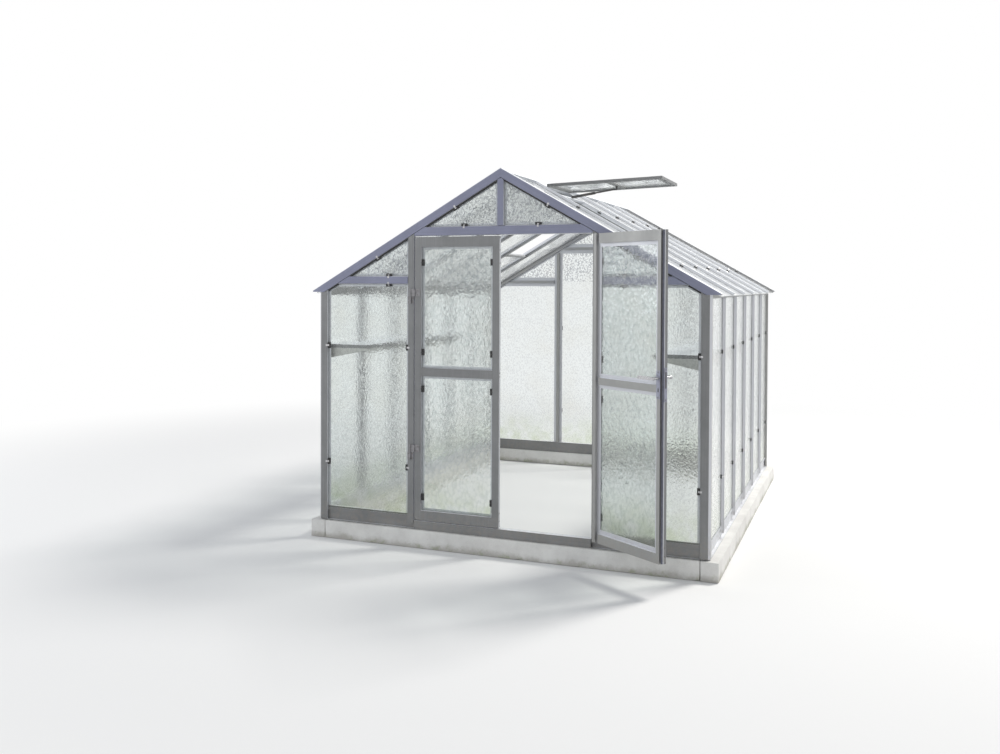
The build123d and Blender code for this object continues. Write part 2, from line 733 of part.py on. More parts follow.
def shelf(side):
    with BuildPart() as tray:
        with Locations((side * (shelf_outer - shelf_width / 2), shelf_start, shelf_top)):
            Box(shelf_width, shelf_length, shelf_lip, align=(Align.CENTER, Align.MIN, Align.MAX))
        under = tray.faces().sort_by(Axis.Z)[0]
        offset(amount=-shelf_sheet, openings=under)
    return tray


for side, name in ((-1, "left"), (1, "right")):
    finish(shelf(side), f"{name}_shelf")

with BuildPart() as shelf_brackets:
    bracket_top = shelf_top - shelf_lip - seat_gap
    places = [(corner_depth + seat_gap, wall_half_width - corner_post_width + ledge_reach)]
    for i in range(1, shelf_bays + 1):
        places.append((end_bar_offset + i * bay_pitch - bracket_thickness / 2, shelf_outer))
    for y, root in places:
        with BuildSketch(gable_plane(y + bracket_thickness)):
            with BuildLine():
                tip = shelf_outer - shelf_width
                Polyline((root, bracket_top), (root, bracket_top - bracket_drop),
                         (tip, bracket_top - bracket_tip), (tip, bracket_top), close=True)
            make_face()
        extrude(amount=bracket_thickness)
    mirror(about=Plane.YZ)
finish(shelf_brackets, "shelf_brackets")


# Doors, made of glazing-bar profile. Each leaf is drawn in its own plane through the middle of its post:
# x runs from the hinge to the meeting stile, y is up, and "out" is the sign of the plane's normal on the
# side that faces outwards.
leaf_start = hinge_reach + door_gap
leaf_end = hinge_reach + door_half_opening - door_meeting_gap / 2
leaf_foot = sill_top + door_gap
leaf_top = header_bottom - door_gap
opening_angle = radians(180 + right_door_opening)
leaf_x = cos(opening_angle)
leaf_y = sin(opening_angle)
left_leaf_plane = Plane(origin=(-post_middle, -hinge_setback, 0), x_dir=(1, 0, 0), z_dir=(0, -1, 0))
right_leaf_plane = Plane(origin=(post_middle, -hinge_setback, 0), x_dir=(leaf_x, leaf_y, 0),
                         z_dir=(leaf_y, -leaf_x, 0))
leaves = (("left", left_leaf_plane, 1), ("right", right_leaf_plane, -1))
leaf_middle = (leaf_start + leaf_end) / 2
leaf_height = leaf_top - leaf_foot
leaf_width = leaf_end - leaf_start
stile_middles = (leaf_start + door_stile / 2, leaf_end - door_stile / 2)
free_stile_middle = stile_middles[1]
glass_left = leaf_start + door_stile
glass_right = leaf_end - door_stile
lower_glass = (leaf_foot + door_bottom_rail, door_middle_height - door_middle_rail / 2)
upper_glass = (door_middle_height + door_middle_rail / 2, leaf_top - door_top_rail)
rail_levels = ((leaf_foot, lower_glass[0]), (lower_glass[1], upper_glass[0]), (upper_glass[1], leaf_top))
tube_levels = ((leaf_foot, lower_glass[0] - door_tube_inset),
               (lower_glass[1] + door_tube_inset, upper_glass[0] - door_tube_inset),
               (upper_glass[1] + door_tube_inset, leaf_top))


def leaf_openings(inset):
    # The two glazed openings of a leaf, made smaller all round by an inset.
    with BuildSketch() as openings:
        for low, high in (lower_glass, upper_glass):
            with Locations((leaf_middle, (low + high) / 2)):
                Rectangle(glass_right - glass_left - 2 * inset, high - low - 2 * inset)
    return openings.sketch


def leaf_bars(stile_width, rail_length, levels, rail_trim):
    # Outline of two full-height stiles and three rails that start at the middle of the free stile.
    with BuildSketch() as bars:
        for x in stile_middles:
            with Locations((x, (leaf_foot + leaf_top) / 2)):
                Rectangle(stile_width, leaf_height)
        for low, high in levels:
            with Locations((free_stile_middle, (low + high) / 2)):
                Rectangle(rail_length, high - low - 2 * rail_trim, align=(Align.MAX, Align.CENTER))
    return bars.sketch


def leaf_frame(plane, out, with_spindle):
    # Caps and ledges welded into one frame, with a tube behind each stile and rail. The rails' tubes stop
    # short of the hinge stile.
    tube_rail_length = free_stile_middle - glass_left - ledge_reach
    with BuildPart() as frame:
        for depth, inset, amount in ((0, 0, ledge_face), (ledge_face, ledge_reach, ledge_thickness)):
            with BuildSketch(plane.offset(-out * (hinge_setback + depth))):
                with Locations((leaf_middle, (leaf_foot + leaf_top) / 2)):
                    Rectangle(leaf_width, leaf_height)
                add(leaf_openings(inset), mode=Mode.SUBTRACT)
            extrude(amount=-out * amount)
        with BuildSketch(plane.offset(-out * (hinge_setback + web_face))):
            add(leaf_bars(door_tube_width, tube_rail_length, tube_levels, 0))
        extrude(amount=-out * web_depth)
        # Every bar is open at its ends, and the rails' caps run into those of the stiles.
        with BuildSketch(plane.offset(-out * (hinge_setback + wall_thickness))):
            add(leaf_bars(door_stile - 2 * wall_thickness, leaf_width - door_stile, rail_levels, wall_thickness))
        extrude(amount=-out * (ledge_face - wall_thickness), mode=Mode.SUBTRACT)
        with BuildSketch(plane.offset(-out * (hinge_setback + web_face))):
            add(leaf_bars(door_tube_width - 2 * wall_thickness, tube_rail_length, tube_levels, wall_thickness))
        extrude(amount=-out * (web_depth - wall_thickness), mode=Mode.SUBTRACT)
        if with_spindle:
            with BuildSketch(plane.offset(-out * hinge_setback)):
                with Locations((free_stile_middle, lever_height)):
                    Circle(spindle_radius + spindle_clearance)
            extrude(amount=-out * bar_depth, mode=Mode.SUBTRACT)
    return frame


def leaf_glass(plane, out):
    with BuildPart() as glass:
        with BuildSketch(plane.offset(-out * (hinge_setback + glass_face))):
            add(leaf_openings(glass_gap))
        extrude(amount=-out * glass_thickness)
    return glass


def hinge_plate(out, start, end, lift=0):
    # Plan of one flat length of a hinge, lifted off the wall by the last value.
    with BuildSketch() as plate:
        with Locations(((start + end) / 2, out * (hinge_setback - lift - hinge_plate_thickness / 2))):
            Rectangle(end - start, hinge_plate_thickness)
    return plate.sketch


def plan_of(plane, height):
    # Level plane through a leaf's hinge axis.
    return Plane(origin=(plane.origin.X, plane.origin.Y, height), x_dir=plane.x_dir, z_dir=(0, 0, 1))


def leaf_hinges(plane, out):
    # Knuckles in front of the post, each with an arm that passes over it to a plate on the hinge stile.
    arm_end = leaf_start + hinge_plate_thickness
    with BuildPart() as hinges:
        for height in (lower_hinge_height, upper_hinge_height):
            with BuildSketch(plan_of(plane, height + knuckle_gap / 2)):
                add(hinge_plate(out, 0, arm_end, lift=hinge_setback - hinge_plate_thickness))
                add(hinge_plate(out, leaf_start, hinge_plate_reach))
                with Locations(((leaf_start + arm_end) / 2, out * hinge_setback / 2)):
                    Rectangle(hinge_plate_thickness, hinge_setback)
                Circle(hinge_radius)
                Circle(pin_radius + pin_clearance, mode=Mode.SUBTRACT)
            extrude(amount=knuckle_length)
    return hinges


for name, plane, out in leaves:
    finish(leaf_frame(plane, out, with_spindle=name == "right"), f"{name}_door_frame")
    finish(leaf_glass(plane, out), f"{name}_door_glass")
    finish(leaf_hinges(plane, out), f"{name}_door_hinges")

# Hinge halves on the posts, each with the pin that stands up into the door's half.
with BuildPart() as post_hinges:
    for height in (lower_hinge_height, upper_hinge_height):
        with BuildSketch(plan_of(left_leaf_plane, height - knuckle_gap / 2)):
            add(hinge_plate(1, -hinge_plate_width / 2, hinge_plate_width / 2))
            with Locations((0, hinge_setback / 2)):
                Rectangle(2 * hinge_radius, hinge_setback)
            Circle(hinge_radius)
        extrude(amount=-knuckle_length)
        with BuildSketch(plan_of(left_leaf_plane, height - knuckle_gap / 2)):
            Circle(pin_radius)
        extrude(amount=knuckle_length)
    mirror(about=Plane.YZ)
finish(post_hinges, "post_hinges")

# Lock of the right door: a backplate on each face and a forend in the free edge.
leaf_faces = ((hinge_setback, -1), (hinge_setback + bar_depth, 1))
with BuildPart() as right_door_lock:
    for face, direction in leaf_faces:
        with BuildSketch(right_leaf_plane.offset(face)):
            with Locations((free_stile_middle, backplate_centre_height)):
                RectangleRounded(backplate_width, backplate_height, backplate_width / 4)
            with Locations((free_stile_middle, lever_height)):
                Circle(spindle_radius + spindle_clearance, mode=Mode.SUBTRACT)
            with Locations((free_stile_middle, keyhole_height)):
                Circle(keyhole_radius, mode=Mode.SUBTRACT)
        extrude(amount=direction * backplate_thickness)
    with BuildSketch(right_leaf_plane.offset(hinge_setback + (web_face - forend_width) / 2)):
        with Locations((leaf_end, backplate_centre_height)):
            Rectangle(forend_thickness, forend_height, align=(Align.MIN, Align.CENTER))
    extrude(amount=forend_width)
finish(right_door_lock, "right_door_lock")

# Lever handles on one spindle; the grips point to the hinges.
with BuildPart() as right_door_levers:
    neck_start = backplate_thickness + spindle_clearance
    with BuildSketch(right_leaf_plane.offset(hinge_setback - neck_start)):
        with Locations((free_stile_middle, lever_height)):
            Circle(spindle_radius)
    extrude(amount=bar_depth + 2 * neck_start)
    for face, direction in leaf_faces:
        with BuildSketch(right_leaf_plane.offset(face + direction * neck_start)):
            with Locations((free_stile_middle, lever_height)):
                Circle(neck_radius)
        extrude(amount=direction * (lever_stand - neck_start))
        with BuildSketch(right_leaf_plane.offset(face + direction * (lever_stand - lever_grip / 2))):
            with Locations((free_stile_middle + lever_radius - lever_length / 2, lever_height)):
                SlotOverall(lever_length, 2 * lever_radius)
        extrude(amount=direction * lever_grip)
finish(right_door_levers, "right_door_levers")
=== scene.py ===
import math

import bmesh
import bpy
from mathutils import Matrix, Vector


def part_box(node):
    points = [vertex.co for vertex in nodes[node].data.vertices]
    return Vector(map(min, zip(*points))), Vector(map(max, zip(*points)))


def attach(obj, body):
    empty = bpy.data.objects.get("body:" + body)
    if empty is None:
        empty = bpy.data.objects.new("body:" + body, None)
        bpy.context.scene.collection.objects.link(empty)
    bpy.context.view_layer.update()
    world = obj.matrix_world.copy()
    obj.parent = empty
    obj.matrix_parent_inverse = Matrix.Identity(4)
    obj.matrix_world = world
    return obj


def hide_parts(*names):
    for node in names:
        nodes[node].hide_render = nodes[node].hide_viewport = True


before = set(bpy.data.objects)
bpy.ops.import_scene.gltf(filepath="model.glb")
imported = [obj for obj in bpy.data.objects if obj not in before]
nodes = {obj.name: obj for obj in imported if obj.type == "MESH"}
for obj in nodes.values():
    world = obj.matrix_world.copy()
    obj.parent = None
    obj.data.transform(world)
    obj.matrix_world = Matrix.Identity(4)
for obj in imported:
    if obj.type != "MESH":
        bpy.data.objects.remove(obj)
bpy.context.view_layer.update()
print("frame loaded:", len(nodes), "nodes")

scene = bpy.context.scene
scene.view_settings.view_transform = "Standard"

# Places read off the frame, in metres. The front faces -Y and the doors are in the front wall.
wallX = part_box("corner_posts")[1].x          # outer face of the side walls
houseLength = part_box("corner_posts")[1].y    # outer face of the rear wall
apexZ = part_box("gable_rafters")[1].z
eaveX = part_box("gable_rafters")[1].x
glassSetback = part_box("front_glass")[0].y    # from a bar's outer face to the glass
houseSizes = {
    "bayPitch": 0.5,
    "bayCount": 6,
    "endBarOffset": 0.022,
    "eaveZ": 1.61,
    "doorPost": 0.045,
    "cornerPost": 0.060,
    "kingPost": 0.045,
    "doorwayHalf": 0.577,
    "rakeWidth": 0.052,
    "wallBarFace": 0.026,
    "wallBarBase": 0.042,
    "kerbWidth": 0.105,
}
roofAngle = math.atan2(apexZ - houseSizes["eaveZ"], eaveX)
barYs = [houseSizes["endBarOffset"] + i * houseSizes["bayPitch"] for i in range(1, houseSizes["bayCount"])]


def roofPoint(side, distance, rise=0.0, y=0.0):
    # a point down the slope from the ridge, with a rise above the outer roof plane
    return Vector((side * (distance * math.cos(roofAngle) + rise * math.sin(roofAngle)), y,
                   apexZ - distance * math.sin(roofAngle) + rise * math.cos(roofAngle)))


def roofOut(side):
    return Vector((side * math.sin(roofAngle), 0, math.cos(roofAngle)))


# The leaves of the double door: u runs from the hinge axis along the leaf,
# and depth runs inwards from its outer face
doorLeaf = {
    "hingeSetback": 0.008,
    "openAngle": 146.0,      # of the right leaf, at rest
    "depth": 0.042,
    "startU": 0.0285,
    "endU": 0.5955,
    "stile": 0.044,
    "footZ": 0.176,
}
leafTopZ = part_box("left_door_frame")[1].z
hingeX = houseSizes["doorwayHalf"] + houseSizes["doorPost"] / 2


def leafAxes(name):
    if name == "left":
        return Vector((-hingeX, -doorLeaf["hingeSetback"], 0)), Vector((1, 0, 0)), Vector((0, -1, 0))
    angle = math.radians(180 + doorLeaf["openAngle"])
    along = Vector((math.cos(angle), math.sin(angle), 0))
    return Vector((hingeX, -doorLeaf["hingeSetback"], 0)), along, Vector((-along.y, along.x, 0))


def leafPoint(name, u, depth, z):
    origin, along, out = leafAxes(name)
    return origin + along * u - out * (doorLeaf["hingeSetback"] + depth) + Vector((0, 0, z))


# Node helpers, for shader and geometry trees alike: a value is a socket to link or a plain number

def feed(tree, value, socket):
    if isinstance(value, bpy.types.NodeSocket):
        tree.links.new(value, socket)
    else:
        socket.default_value = value


def addNode(tree, kind, inputs=None, **settings):
    node = tree.nodes.new(kind)
    for key, value in settings.items():
        setattr(node, key, value)
    for key, value in (inputs or {}).items():
        feed(tree, value, node.inputs[key])
    return node


def doMath(tree, operation, first, second=0.0):
    return addNode(tree, "ShaderNodeMath", {0: first, 1: second}, operation=operation).outputs[0]


def plus(tree, first, second):
    return doMath(tree, "ADD", first, second)


def minus(tree, first, second):
    return doMath(tree, "SUBTRACT", first, second)


def times(tree, first, second):
    return doMath(tree, "MULTIPLY", first, second)


def larger(tree, first, second):
    return doMath(tree, "MAXIMUM", first, second)


def smaller(tree, first, second):
    return doMath(tree, "MINIMUM", first, second)


def magnitude(tree, value):
    return doMath(tree, "ABSOLUTE", value)


def mapRange(tree, value, fromLow, fromHigh, toLow=0.0, toHigh=1.0, smooth=False):
    node = addNode(tree, "ShaderNodeMapRange", {"Value": value, "From Min": fromLow, "From Max": fromHigh,
                                                "To Min": toLow, "To Max": toHigh})
    if smooth:
        node.interpolation_type = "SMOOTHSTEP"
    return node.outputs["Result"]


def vector(tree, x, y, z):
    return addNode(tree, "ShaderNodeCombineXYZ", {"X": x, "Y": y, "Z": z}).outputs[0]


def axesOf(tree, place):
    return addNode(tree, "ShaderNodeSeparateXYZ", {"Vector": place}).outputs


def vectorMath(tree, operation, *values):
    return addNode(tree, "ShaderNodeVectorMath", dict(enumerate(values)), operation=operation).outputs


def scaled(tree, direction, length):
    node = addNode(tree, "ShaderNodeVectorMath", {0: direction, "Scale": length}, operation="SCALE")
    return node.outputs[0]


def mixColour(tree, factor, first, second):
    return addNode(tree, "ShaderNodeMix", {0: factor, 6: first, 7: second}, data_type="RGBA").outputs[2]


def noise(tree, place, scale, detail=2.0, roughness=0.5, output="Fac"):
    return addNode(tree, "ShaderNodeTexNoise", {"Vector": place, "Scale": scale, "Detail": detail,
                                                "Roughness": roughness}).outputs[output]


def newMaterial(name):
    material = bpy.data.materials.new(name)
    material.use_nodes = True
    tree = material.node_tree
    shader = tree.nodes["Principled BSDF"]
    place = addNode(tree, "ShaderNodeTexCoord").outputs["Object"]
    return material, tree, shader, place


def finishShader(tree, shader, inputs, relief, look):
    # feeds the shader and gives it a bump
    bump = addNode(tree, "ShaderNodeBump", {"Height": relief, "Strength": look["bumpStrength"],
                                            "Distance": look["bumpDistance"]})
    for label, value in {**inputs, "Normal": bump.outputs["Normal"]}.items():
        feed(tree, value, shader.inputs[label])


def mixShaders(tree, share, first, second, end="Material Output"):
    # two shaders mixed, as the whole surface
    mixed = addNode(tree, "ShaderNodeMixShader", {0: share, 1: first.outputs[0], 2: second.outputs[0]})
    tree.links.new(mixed.outputs[0], tree.nodes[end].inputs["Surface"])


def grainCoordinates(tree, place, grain, stretch):
    # stretched along the bar, so that a noise makes drawn streaks
    if grain == "slope":  # both slopes mirrored on to one, then turned level
        axes = axesOf(tree, place)
        folded = vector(tree, magnitude(tree, axes["X"]), axes["Y"], axes["Z"])
        turned = addNode(tree, "ShaderNodeMapping", {"Vector": folded, "Rotation": (0, -roofAngle, 0)})
        place = turned.outputs[0]
        grain = "across"
    scale = {"upright": (1, 1, stretch), "across": (stretch, 1, 1), "deep": (1, stretch, 1)}[grain]
    return addNode(tree, "ShaderNodeMapping", {"Vector": place, "Scale": scale}).outputs[0]


def depthBehind(tree, place, face):
    # how far a point lies inwards from the outer face of its wall, slope or leaf
    if face == "leaf":
        origin, along, out = leafAxes("right")
        away = vectorMath(tree, "SUBTRACT", place, tuple(origin - out * doorLeaf["hingeSetback"]))[0]
        return vectorMath(tree, "DOT_PRODUCT", away, tuple(-out))["Value"]
    axes = axesOf(tree, place)
    if face == "gable":
        return smaller(tree, axes["Y"], minus(tree, houseLength, axes["Y"]))
    across = magnitude(tree, axes["X"])
    if face == "wall":
        return minus(tree, wallX, across)
    fall = times(tree, minus(tree, apexZ, axes["Z"]), math.cos(roofAngle))
    return minus(tree, fall, times(tree, across, math.sin(roofAngle)))


aluminiumLook = {
    # pale and dull are darker than bare aluminium: painted shade, as on frames that stand in shade
    "pale": (0.262, 0.266, 0.270, 1),
    "dull": (0.192, 0.196, 0.200, 1),
    "oxide": (0.38, 0.385, 0.39, 1),
    "topHighlight": (0.84, 0.86, 0.90, 1),      # faces that look up: painted highlight of the sky
    "ledge": (0.60, 0.61, 0.645, 1),        # metal that the pane covers, lighter: cleaner metal and painted light
    "sheltered": (0.365, 0.365, 0.355, 1),  # towards the room
    "soil": (0.33, 0.29, 0.24, 1),
    "ledgeFrom": 0.0015,                    # the bar's outer face alone keeps the weathered colour; behind it the cap's sides take the ledge colour as painted light
    "ledgeTo": 0.0245,
    "ledgeBlend": 0.0004,
    "metallic": 0.55,
    "mottleScale": 5.0,
    "speckScale": 190.0,
    "streakScale": 120.0,
    "streakStretch": 0.012,
    "roughLow": 0.34,
    "roughHigh": 0.56,
    "splashFoot": 0.11,
    "splashTop": 0.36,                      # how high rain throws soil up the bars
    "splashScale": 34.0,
    "bumpStrength": 0.22,
    "bumpDistance": 0.0006,
}
leafLook = {**aluminiumLook, "ledgeFrom": 0.0185}
# wall bars paler and bluer: painted light of sun and sky
mullionSkyLightLook = {**aluminiumLook, "pale": (0.42, 0.435, 0.475, 1), "dull": (0.34, 0.35, 0.385, 1)}
# gable bars bluer: painted shade lit by the blue sky
gableShadeLook = {**aluminiumLook, "pale": (0.262, 0.275, 0.372, 1), "dull": (0.200, 0.210, 0.285, 1)}
bracketLook = {**aluminiumLook, "pale": (0.56, 0.56, 0.54, 1), "dull": (0.46, 0.46, 0.44, 1)}
# roof bars and side base rails much paler: painted sun and sky light; their room side darker: painted shade
paintedSkyLightLook = {**aluminiumLook, "pale": (0.76, 0.78, 0.82, 1), "dull": (0.60, 0.62, 0.66, 1),
           "oxide": (0.84, 0.85, 0.87, 1), "ledge": (0.70, 0.72, 0.76, 1),
           "sheltered": (0.27, 0.27, 0.275, 1)}


def ledgeLightAndRoomSide(tree, body, depth, mottle, values):
    # the cap's sides and the ledge under the pane are lighter, as painted light; the room side takes its
    # sheltered colour
    patches = mapRange(tree, mottle, 0.30, 0.70, 0.0, 0.35)
    inner = mixColour(tree, patches, values["sheltered"], values["pale"])
    blend = values["ledgeBlend"]
    pastLedge = mapRange(tree, depth, values["ledgeTo"], values["ledgeTo"] + blend)
    pastFace = mapRange(tree, depth, values["ledgeFrom"], values["ledgeFrom"] + blend)
    return mixColour(tree, pastFace, body, mixColour(tree, pastLedge, values["ledge"], inner))


def paintTopHighlight(tree, body, mottle, values):
    # faces that look up are lighter: painted highlight
    facing = addNode(tree, "ShaderNodeNewGeometry").outputs["Normal"]
    upward = mapRange(tree, axesOf(tree, facing)["Z"], 0.40, 0.75)
    highlighted = times(tree, upward, mapRange(tree, mottle, 0.25, 0.6, 0.75, 1.0))
    return mixColour(tree, highlighted, body, values["topHighlight"])


def soilSplash(tree, place, values):
    height = axesOf(tree, place)["Z"]
    low = mapRange(tree, height, values["splashFoot"], values["splashTop"], 0.5, 0.0, smooth=True)
    spots = noise(tree, place, values["splashScale"], detail=6, roughness=0.72)
    return times(tree, low, mapRange(tree, spots, 0.40, 0.74))


def aluminium(name, grain, values=aluminiumLook, face=None):
    material, tree, shader, place = newMaterial(name)
    drawn = grainCoordinates(tree, place, grain, values["streakStretch"])
    streaks = noise(tree, drawn, values["streakScale"], detail=3, roughness=0.6)
    mottle = noise(tree, place, values["mottleScale"], detail=5, roughness=0.62)
    specks = noise(tree, place, values["speckScale"])
    splash = soilSplash(tree, place, values)
    body = mixColour(tree, mapRange(tree, mottle, 0.30, 0.70), values["dull"], values["pale"])
    body = mixColour(tree, mapRange(tree, streaks, 0.40, 0.66, 0, 0.40), body, values["dull"])
    body = mixColour(tree, mapRange(tree, specks, 0.62, 0.74, 0, 0.35), body, values["oxide"])
    if face:
        body = ledgeLightAndRoomSide(tree, body, depthBehind(tree, place, face), mottle, values)
    body = paintTopHighlight(tree, body, mottle, values)
    body = mixColour(tree, splash, body, values["soil"])
    rough = mapRange(tree, mottle, 0.3, 0.7, values["roughLow"], values["roughHigh"])
    rough = plus(tree, rough, mapRange(tree, streaks, 0.3, 0.7, -0.06, 0.06))
    rough = plus(tree, rough, times(tree, splash, 0.3))
    metal = minus(tree, values["metallic"], times(tree, splash, 0.5))
    relief = plus(tree, times(tree, streaks, 0.6), times(tree, specks, 0.25))
    finishShader(tree, shader, {"Base Color": body, "Roughness": rough, "Metallic": metal}, relief, values)
    return material


glassLook = {
    "clean": (0.87, 0.90, 0.895, 1),
    "thickAndShaded": (0.65, 0.70, 0.70, 1),    # the hollows between the hammered bumps: thicker glass and painted shade that brings out the relief
    "algae": (0.52, 0.60, 0.38, 1),
    "dust": (0.74, 0.73, 0.66, 1),
    "letThrough": (0.93, 0.94, 0.935, 1),
    "patternScale": 52.0,              # about 19 mm from one bump to the next
    "patternStretch": 0.72,
    "patternShow": 0.55,
    "warpScale": 24.0,
    "warpReach": 0.012,
    "bumpStrength": 0.75,
    "bumpDistance": 0.0020,
    "rough": 0.07,
    "clear": 1.0,
    "refraction": 1.5,
    "footZ": 0.186,
    "algaeReach": 0.34,                # how high algae climbs from the foot
    "grimeScale": 8.0,
    "veilScale": 2.6,
    "crinkleFrom": 1.68,               # above this the panes are crinkled more
    "crinkleShow": 0.85,
    "crinkleStrength": 1.0,
}
# roof panes paler and partly diffuse: painted reflection of the bright sky
roofSkyReflectionLook = {**glassLook, "clean": (0.94, 0.955, 0.965, 1), "thickAndShaded": (0.76, 0.79, 0.82, 1), "crinkleFrom": 9.0,
            "clear": 0.85, "bumpStrength": 0.22, "bumpDistance": 0.0010}
crinkledLook = {**glassLook, "patternScale": 92.0, "bumpDistance": 0.0024, "bumpStrength": 0.50,
                "thickAndShaded": (0.40, 0.42, 0.45, 1), "patternShow": 0.22}


def hammeredPattern(tree, drawn, values):
    warp = noise(tree, drawn, values["warpScale"], output="Color")
    bent = vectorMath(tree, "MULTIPLY_ADD", warp, (values["warpReach"],) * 3, drawn)[0]
    cells = addNode(tree, "ShaderNodeTexVoronoi", {"Vector": bent, "Scale": values["patternScale"],
                                                   "Smoothness": 0.45}, feature="SMOOTH_F1")
    ripple = noise(tree, bent, values["patternScale"] * 1.6)
    return plus(tree, times(tree, cells.outputs["Distance"], 0.9), times(tree, ripple, 0.55))


def letLightThrough(tree, shader, colour):
    # lamps and sky light the bars behind the pane, which else would look black through it
    film = addNode(tree, "ShaderNodeBsdfTransparent", {"Color": colour})
    path = addNode(tree, "ShaderNodeLightPath").outputs
    reflected = minus(tree, path["Is Glossy Ray"], path["Is Transmission Ray"])
    lighting = larger(tree, path["Is Shadow Ray"], larger(tree, path["Is Diffuse Ray"], reflected))
    mixShaders(tree, lighting, shader, film)


def rolledGlass(name, grain="upright", values=glassLook):
    # clear glass with a hammered pattern, so near things show and far things blur
    material, tree, shader, place = newMaterial(name)
    pattern = hammeredPattern(tree, grainCoordinates(tree, place, grain, values["patternStretch"]), values)
    height = axesOf(tree, place)["Z"]
    crinkle = (values["crinkleFrom"], values["crinkleFrom"] + 0.01)
    strength = mapRange(tree, height, *crinkle, values["bumpStrength"], values["crinkleStrength"])
    show = mapRange(tree, height, *crinkle, values["patternShow"], values["crinkleShow"])
    # the hollows are darker: partly thicker glass, partly painted shade
    hollowShade = times(tree, mapRange(tree, pattern, 0.62, 0.95, smooth=True), show)
    low, high = values["footZ"], values["footZ"] + values["algaeReach"]
    foot = mapRange(tree, height, low, high, 0.85, 0.0, smooth=True)
    grime = noise(tree, place, values["grimeScale"], detail=6, roughness=0.68)
    stained = times(tree, foot, mapRange(tree, grime, 0.35, 0.75))
    haze = noise(tree, place, values["veilScale"], detail=5, roughness=0.62)
    veil = mapRange(tree, haze, 0.45, 0.75, 0.0, 0.35)
    colour = mixColour(tree, hollowShade, values["clean"], values["thickAndShaded"])
    colour = mixColour(tree, stained, colour, values["algae"])
    colour = mixColour(tree, veil, colour, values["dust"])
    rough = plus(tree, values["rough"], times(tree, veil, 0.20))
    rough = plus(tree, rough, times(tree, foot, 0.14))
    finishShader(tree, shader, {"Base Color": colour, "Roughness": rough,
                                "Transmission Weight": values["clear"], "IOR": values["refraction"]},
                 pattern, {**values, "bumpStrength": strength})
    letLightThrough(tree, shader, values["letThrough"])
    return material


concreteLook = {
    "pale": (0.83, 0.825, 0.80, 1),
    "grey": (0.66, 0.65, 0.63, 1),
    "damp": (0.42, 0.40, 0.36, 1),
    "moss": (0.33, 0.36, 0.22, 1),
    "cloudScale": 5.0,
    "gritScale": 260.0,
    "pitScale": 130.0,
    "pitPatchScale": 30.0,
    "mossScale": 22.0,
    "dampTop": 0.05,
    "rough": 0.9,
    "bumpStrength": 0.6,
    "bumpDistance": 0.0015,
}


def castConcrete(name, values=concreteLook):
    material, tree, shader, place = newMaterial(name)
    cloud = noise(tree, place, values["cloudScale"], detail=6, roughness=0.65)
    grit = noise(tree, place, values["gritScale"], detail=3, roughness=0.6)
    cells = addNode(tree, "ShaderNodeTexVoronoi", {"Vector": place, "Scale": values["pitScale"],
                                                   "Randomness": 1.0}).outputs["Distance"]
    pitted = mapRange(tree, noise(tree, place, values["pitPatchScale"]), 0.50, 0.62)
    pits = times(tree, mapRange(tree, cells, 0.06, 0.20, 1.0, 0.0), pitted)
    colour = mixColour(tree, mapRange(tree, cloud, 0.35, 0.68), values["grey"], values["pale"])
    colour = mixColour(tree, mapRange(tree, grit, 0.35, 0.7, 0, 0.35), colour, values["pale"])
    colour = mixColour(tree, times(tree, pits, 0.7), colour, values["damp"])
    foot = plus(tree, axesOf(tree, place)["Z"], mapRange(tree, cloud, 0.3, 0.7, -0.02, 0.02))
    foot = mapRange(tree, foot, 0.0, values["dampTop"], 0.75, 0.0, smooth=True)
    colour = mixColour(tree, foot, colour, values["damp"])
    tufts = mapRange(tree, noise(tree, place, values["mossScale"], detail=5, roughness=0.7), 0.52, 0.66)
    colour = mixColour(tree, times(tree, foot, tufts), colour, values["moss"])
    relief = minus(tree, plus(tree, times(tree, grit, 0.5), cloud), pits)
    finishShader(tree, shader, {"Base Color": colour, "Roughness": values["rough"]}, relief, values)
    return material


metalLook = {"fineRatio": 12, "bumpStrength": 0.15, "bumpDistance": 0.0003}


def workedMetal(name, colour, worn, rough, metallic, scale=40.0):
    # plated or bare metal with dull patches
    material, tree, shader, place = newMaterial(name)
    patches = noise(tree, place, scale, detail=5, roughness=0.65)
    mixed = mixColour(tree, mapRange(tree, patches, 0.38, 0.66), colour, worn)
    dullness = mapRange(tree, patches, 0.3, 0.7, rough - 0.07, rough + 0.14)
    finishShader(tree, shader, {"Base Color": mixed, "Roughness": dullness, "Metallic": metallic},
                 noise(tree, place, scale * metalLook["fineRatio"]), metalLook)
    return material


rubberLook = {"bloomScale": 60.0, "fineScale": 500.0, "bumpStrength": 0.2, "bumpDistance": 0.0002}


def rubber(name, fresh, aged):
    material, tree, shader, place = newMaterial(name)
    bloom = noise(tree, place, rubberLook["bloomScale"], detail=4, roughness=0.6)
    colour = mixColour(tree, mapRange(tree, bloom, 0.4, 0.7), fresh, aged)
    dullness = mapRange(tree, bloom, 0.3, 0.7, 0.55, 0.8)
    finishShader(tree, shader, {"Base Color": colour, "Roughness": dullness},
                 noise(tree, place, rubberLook["fineScale"]), rubberLook)
    return material


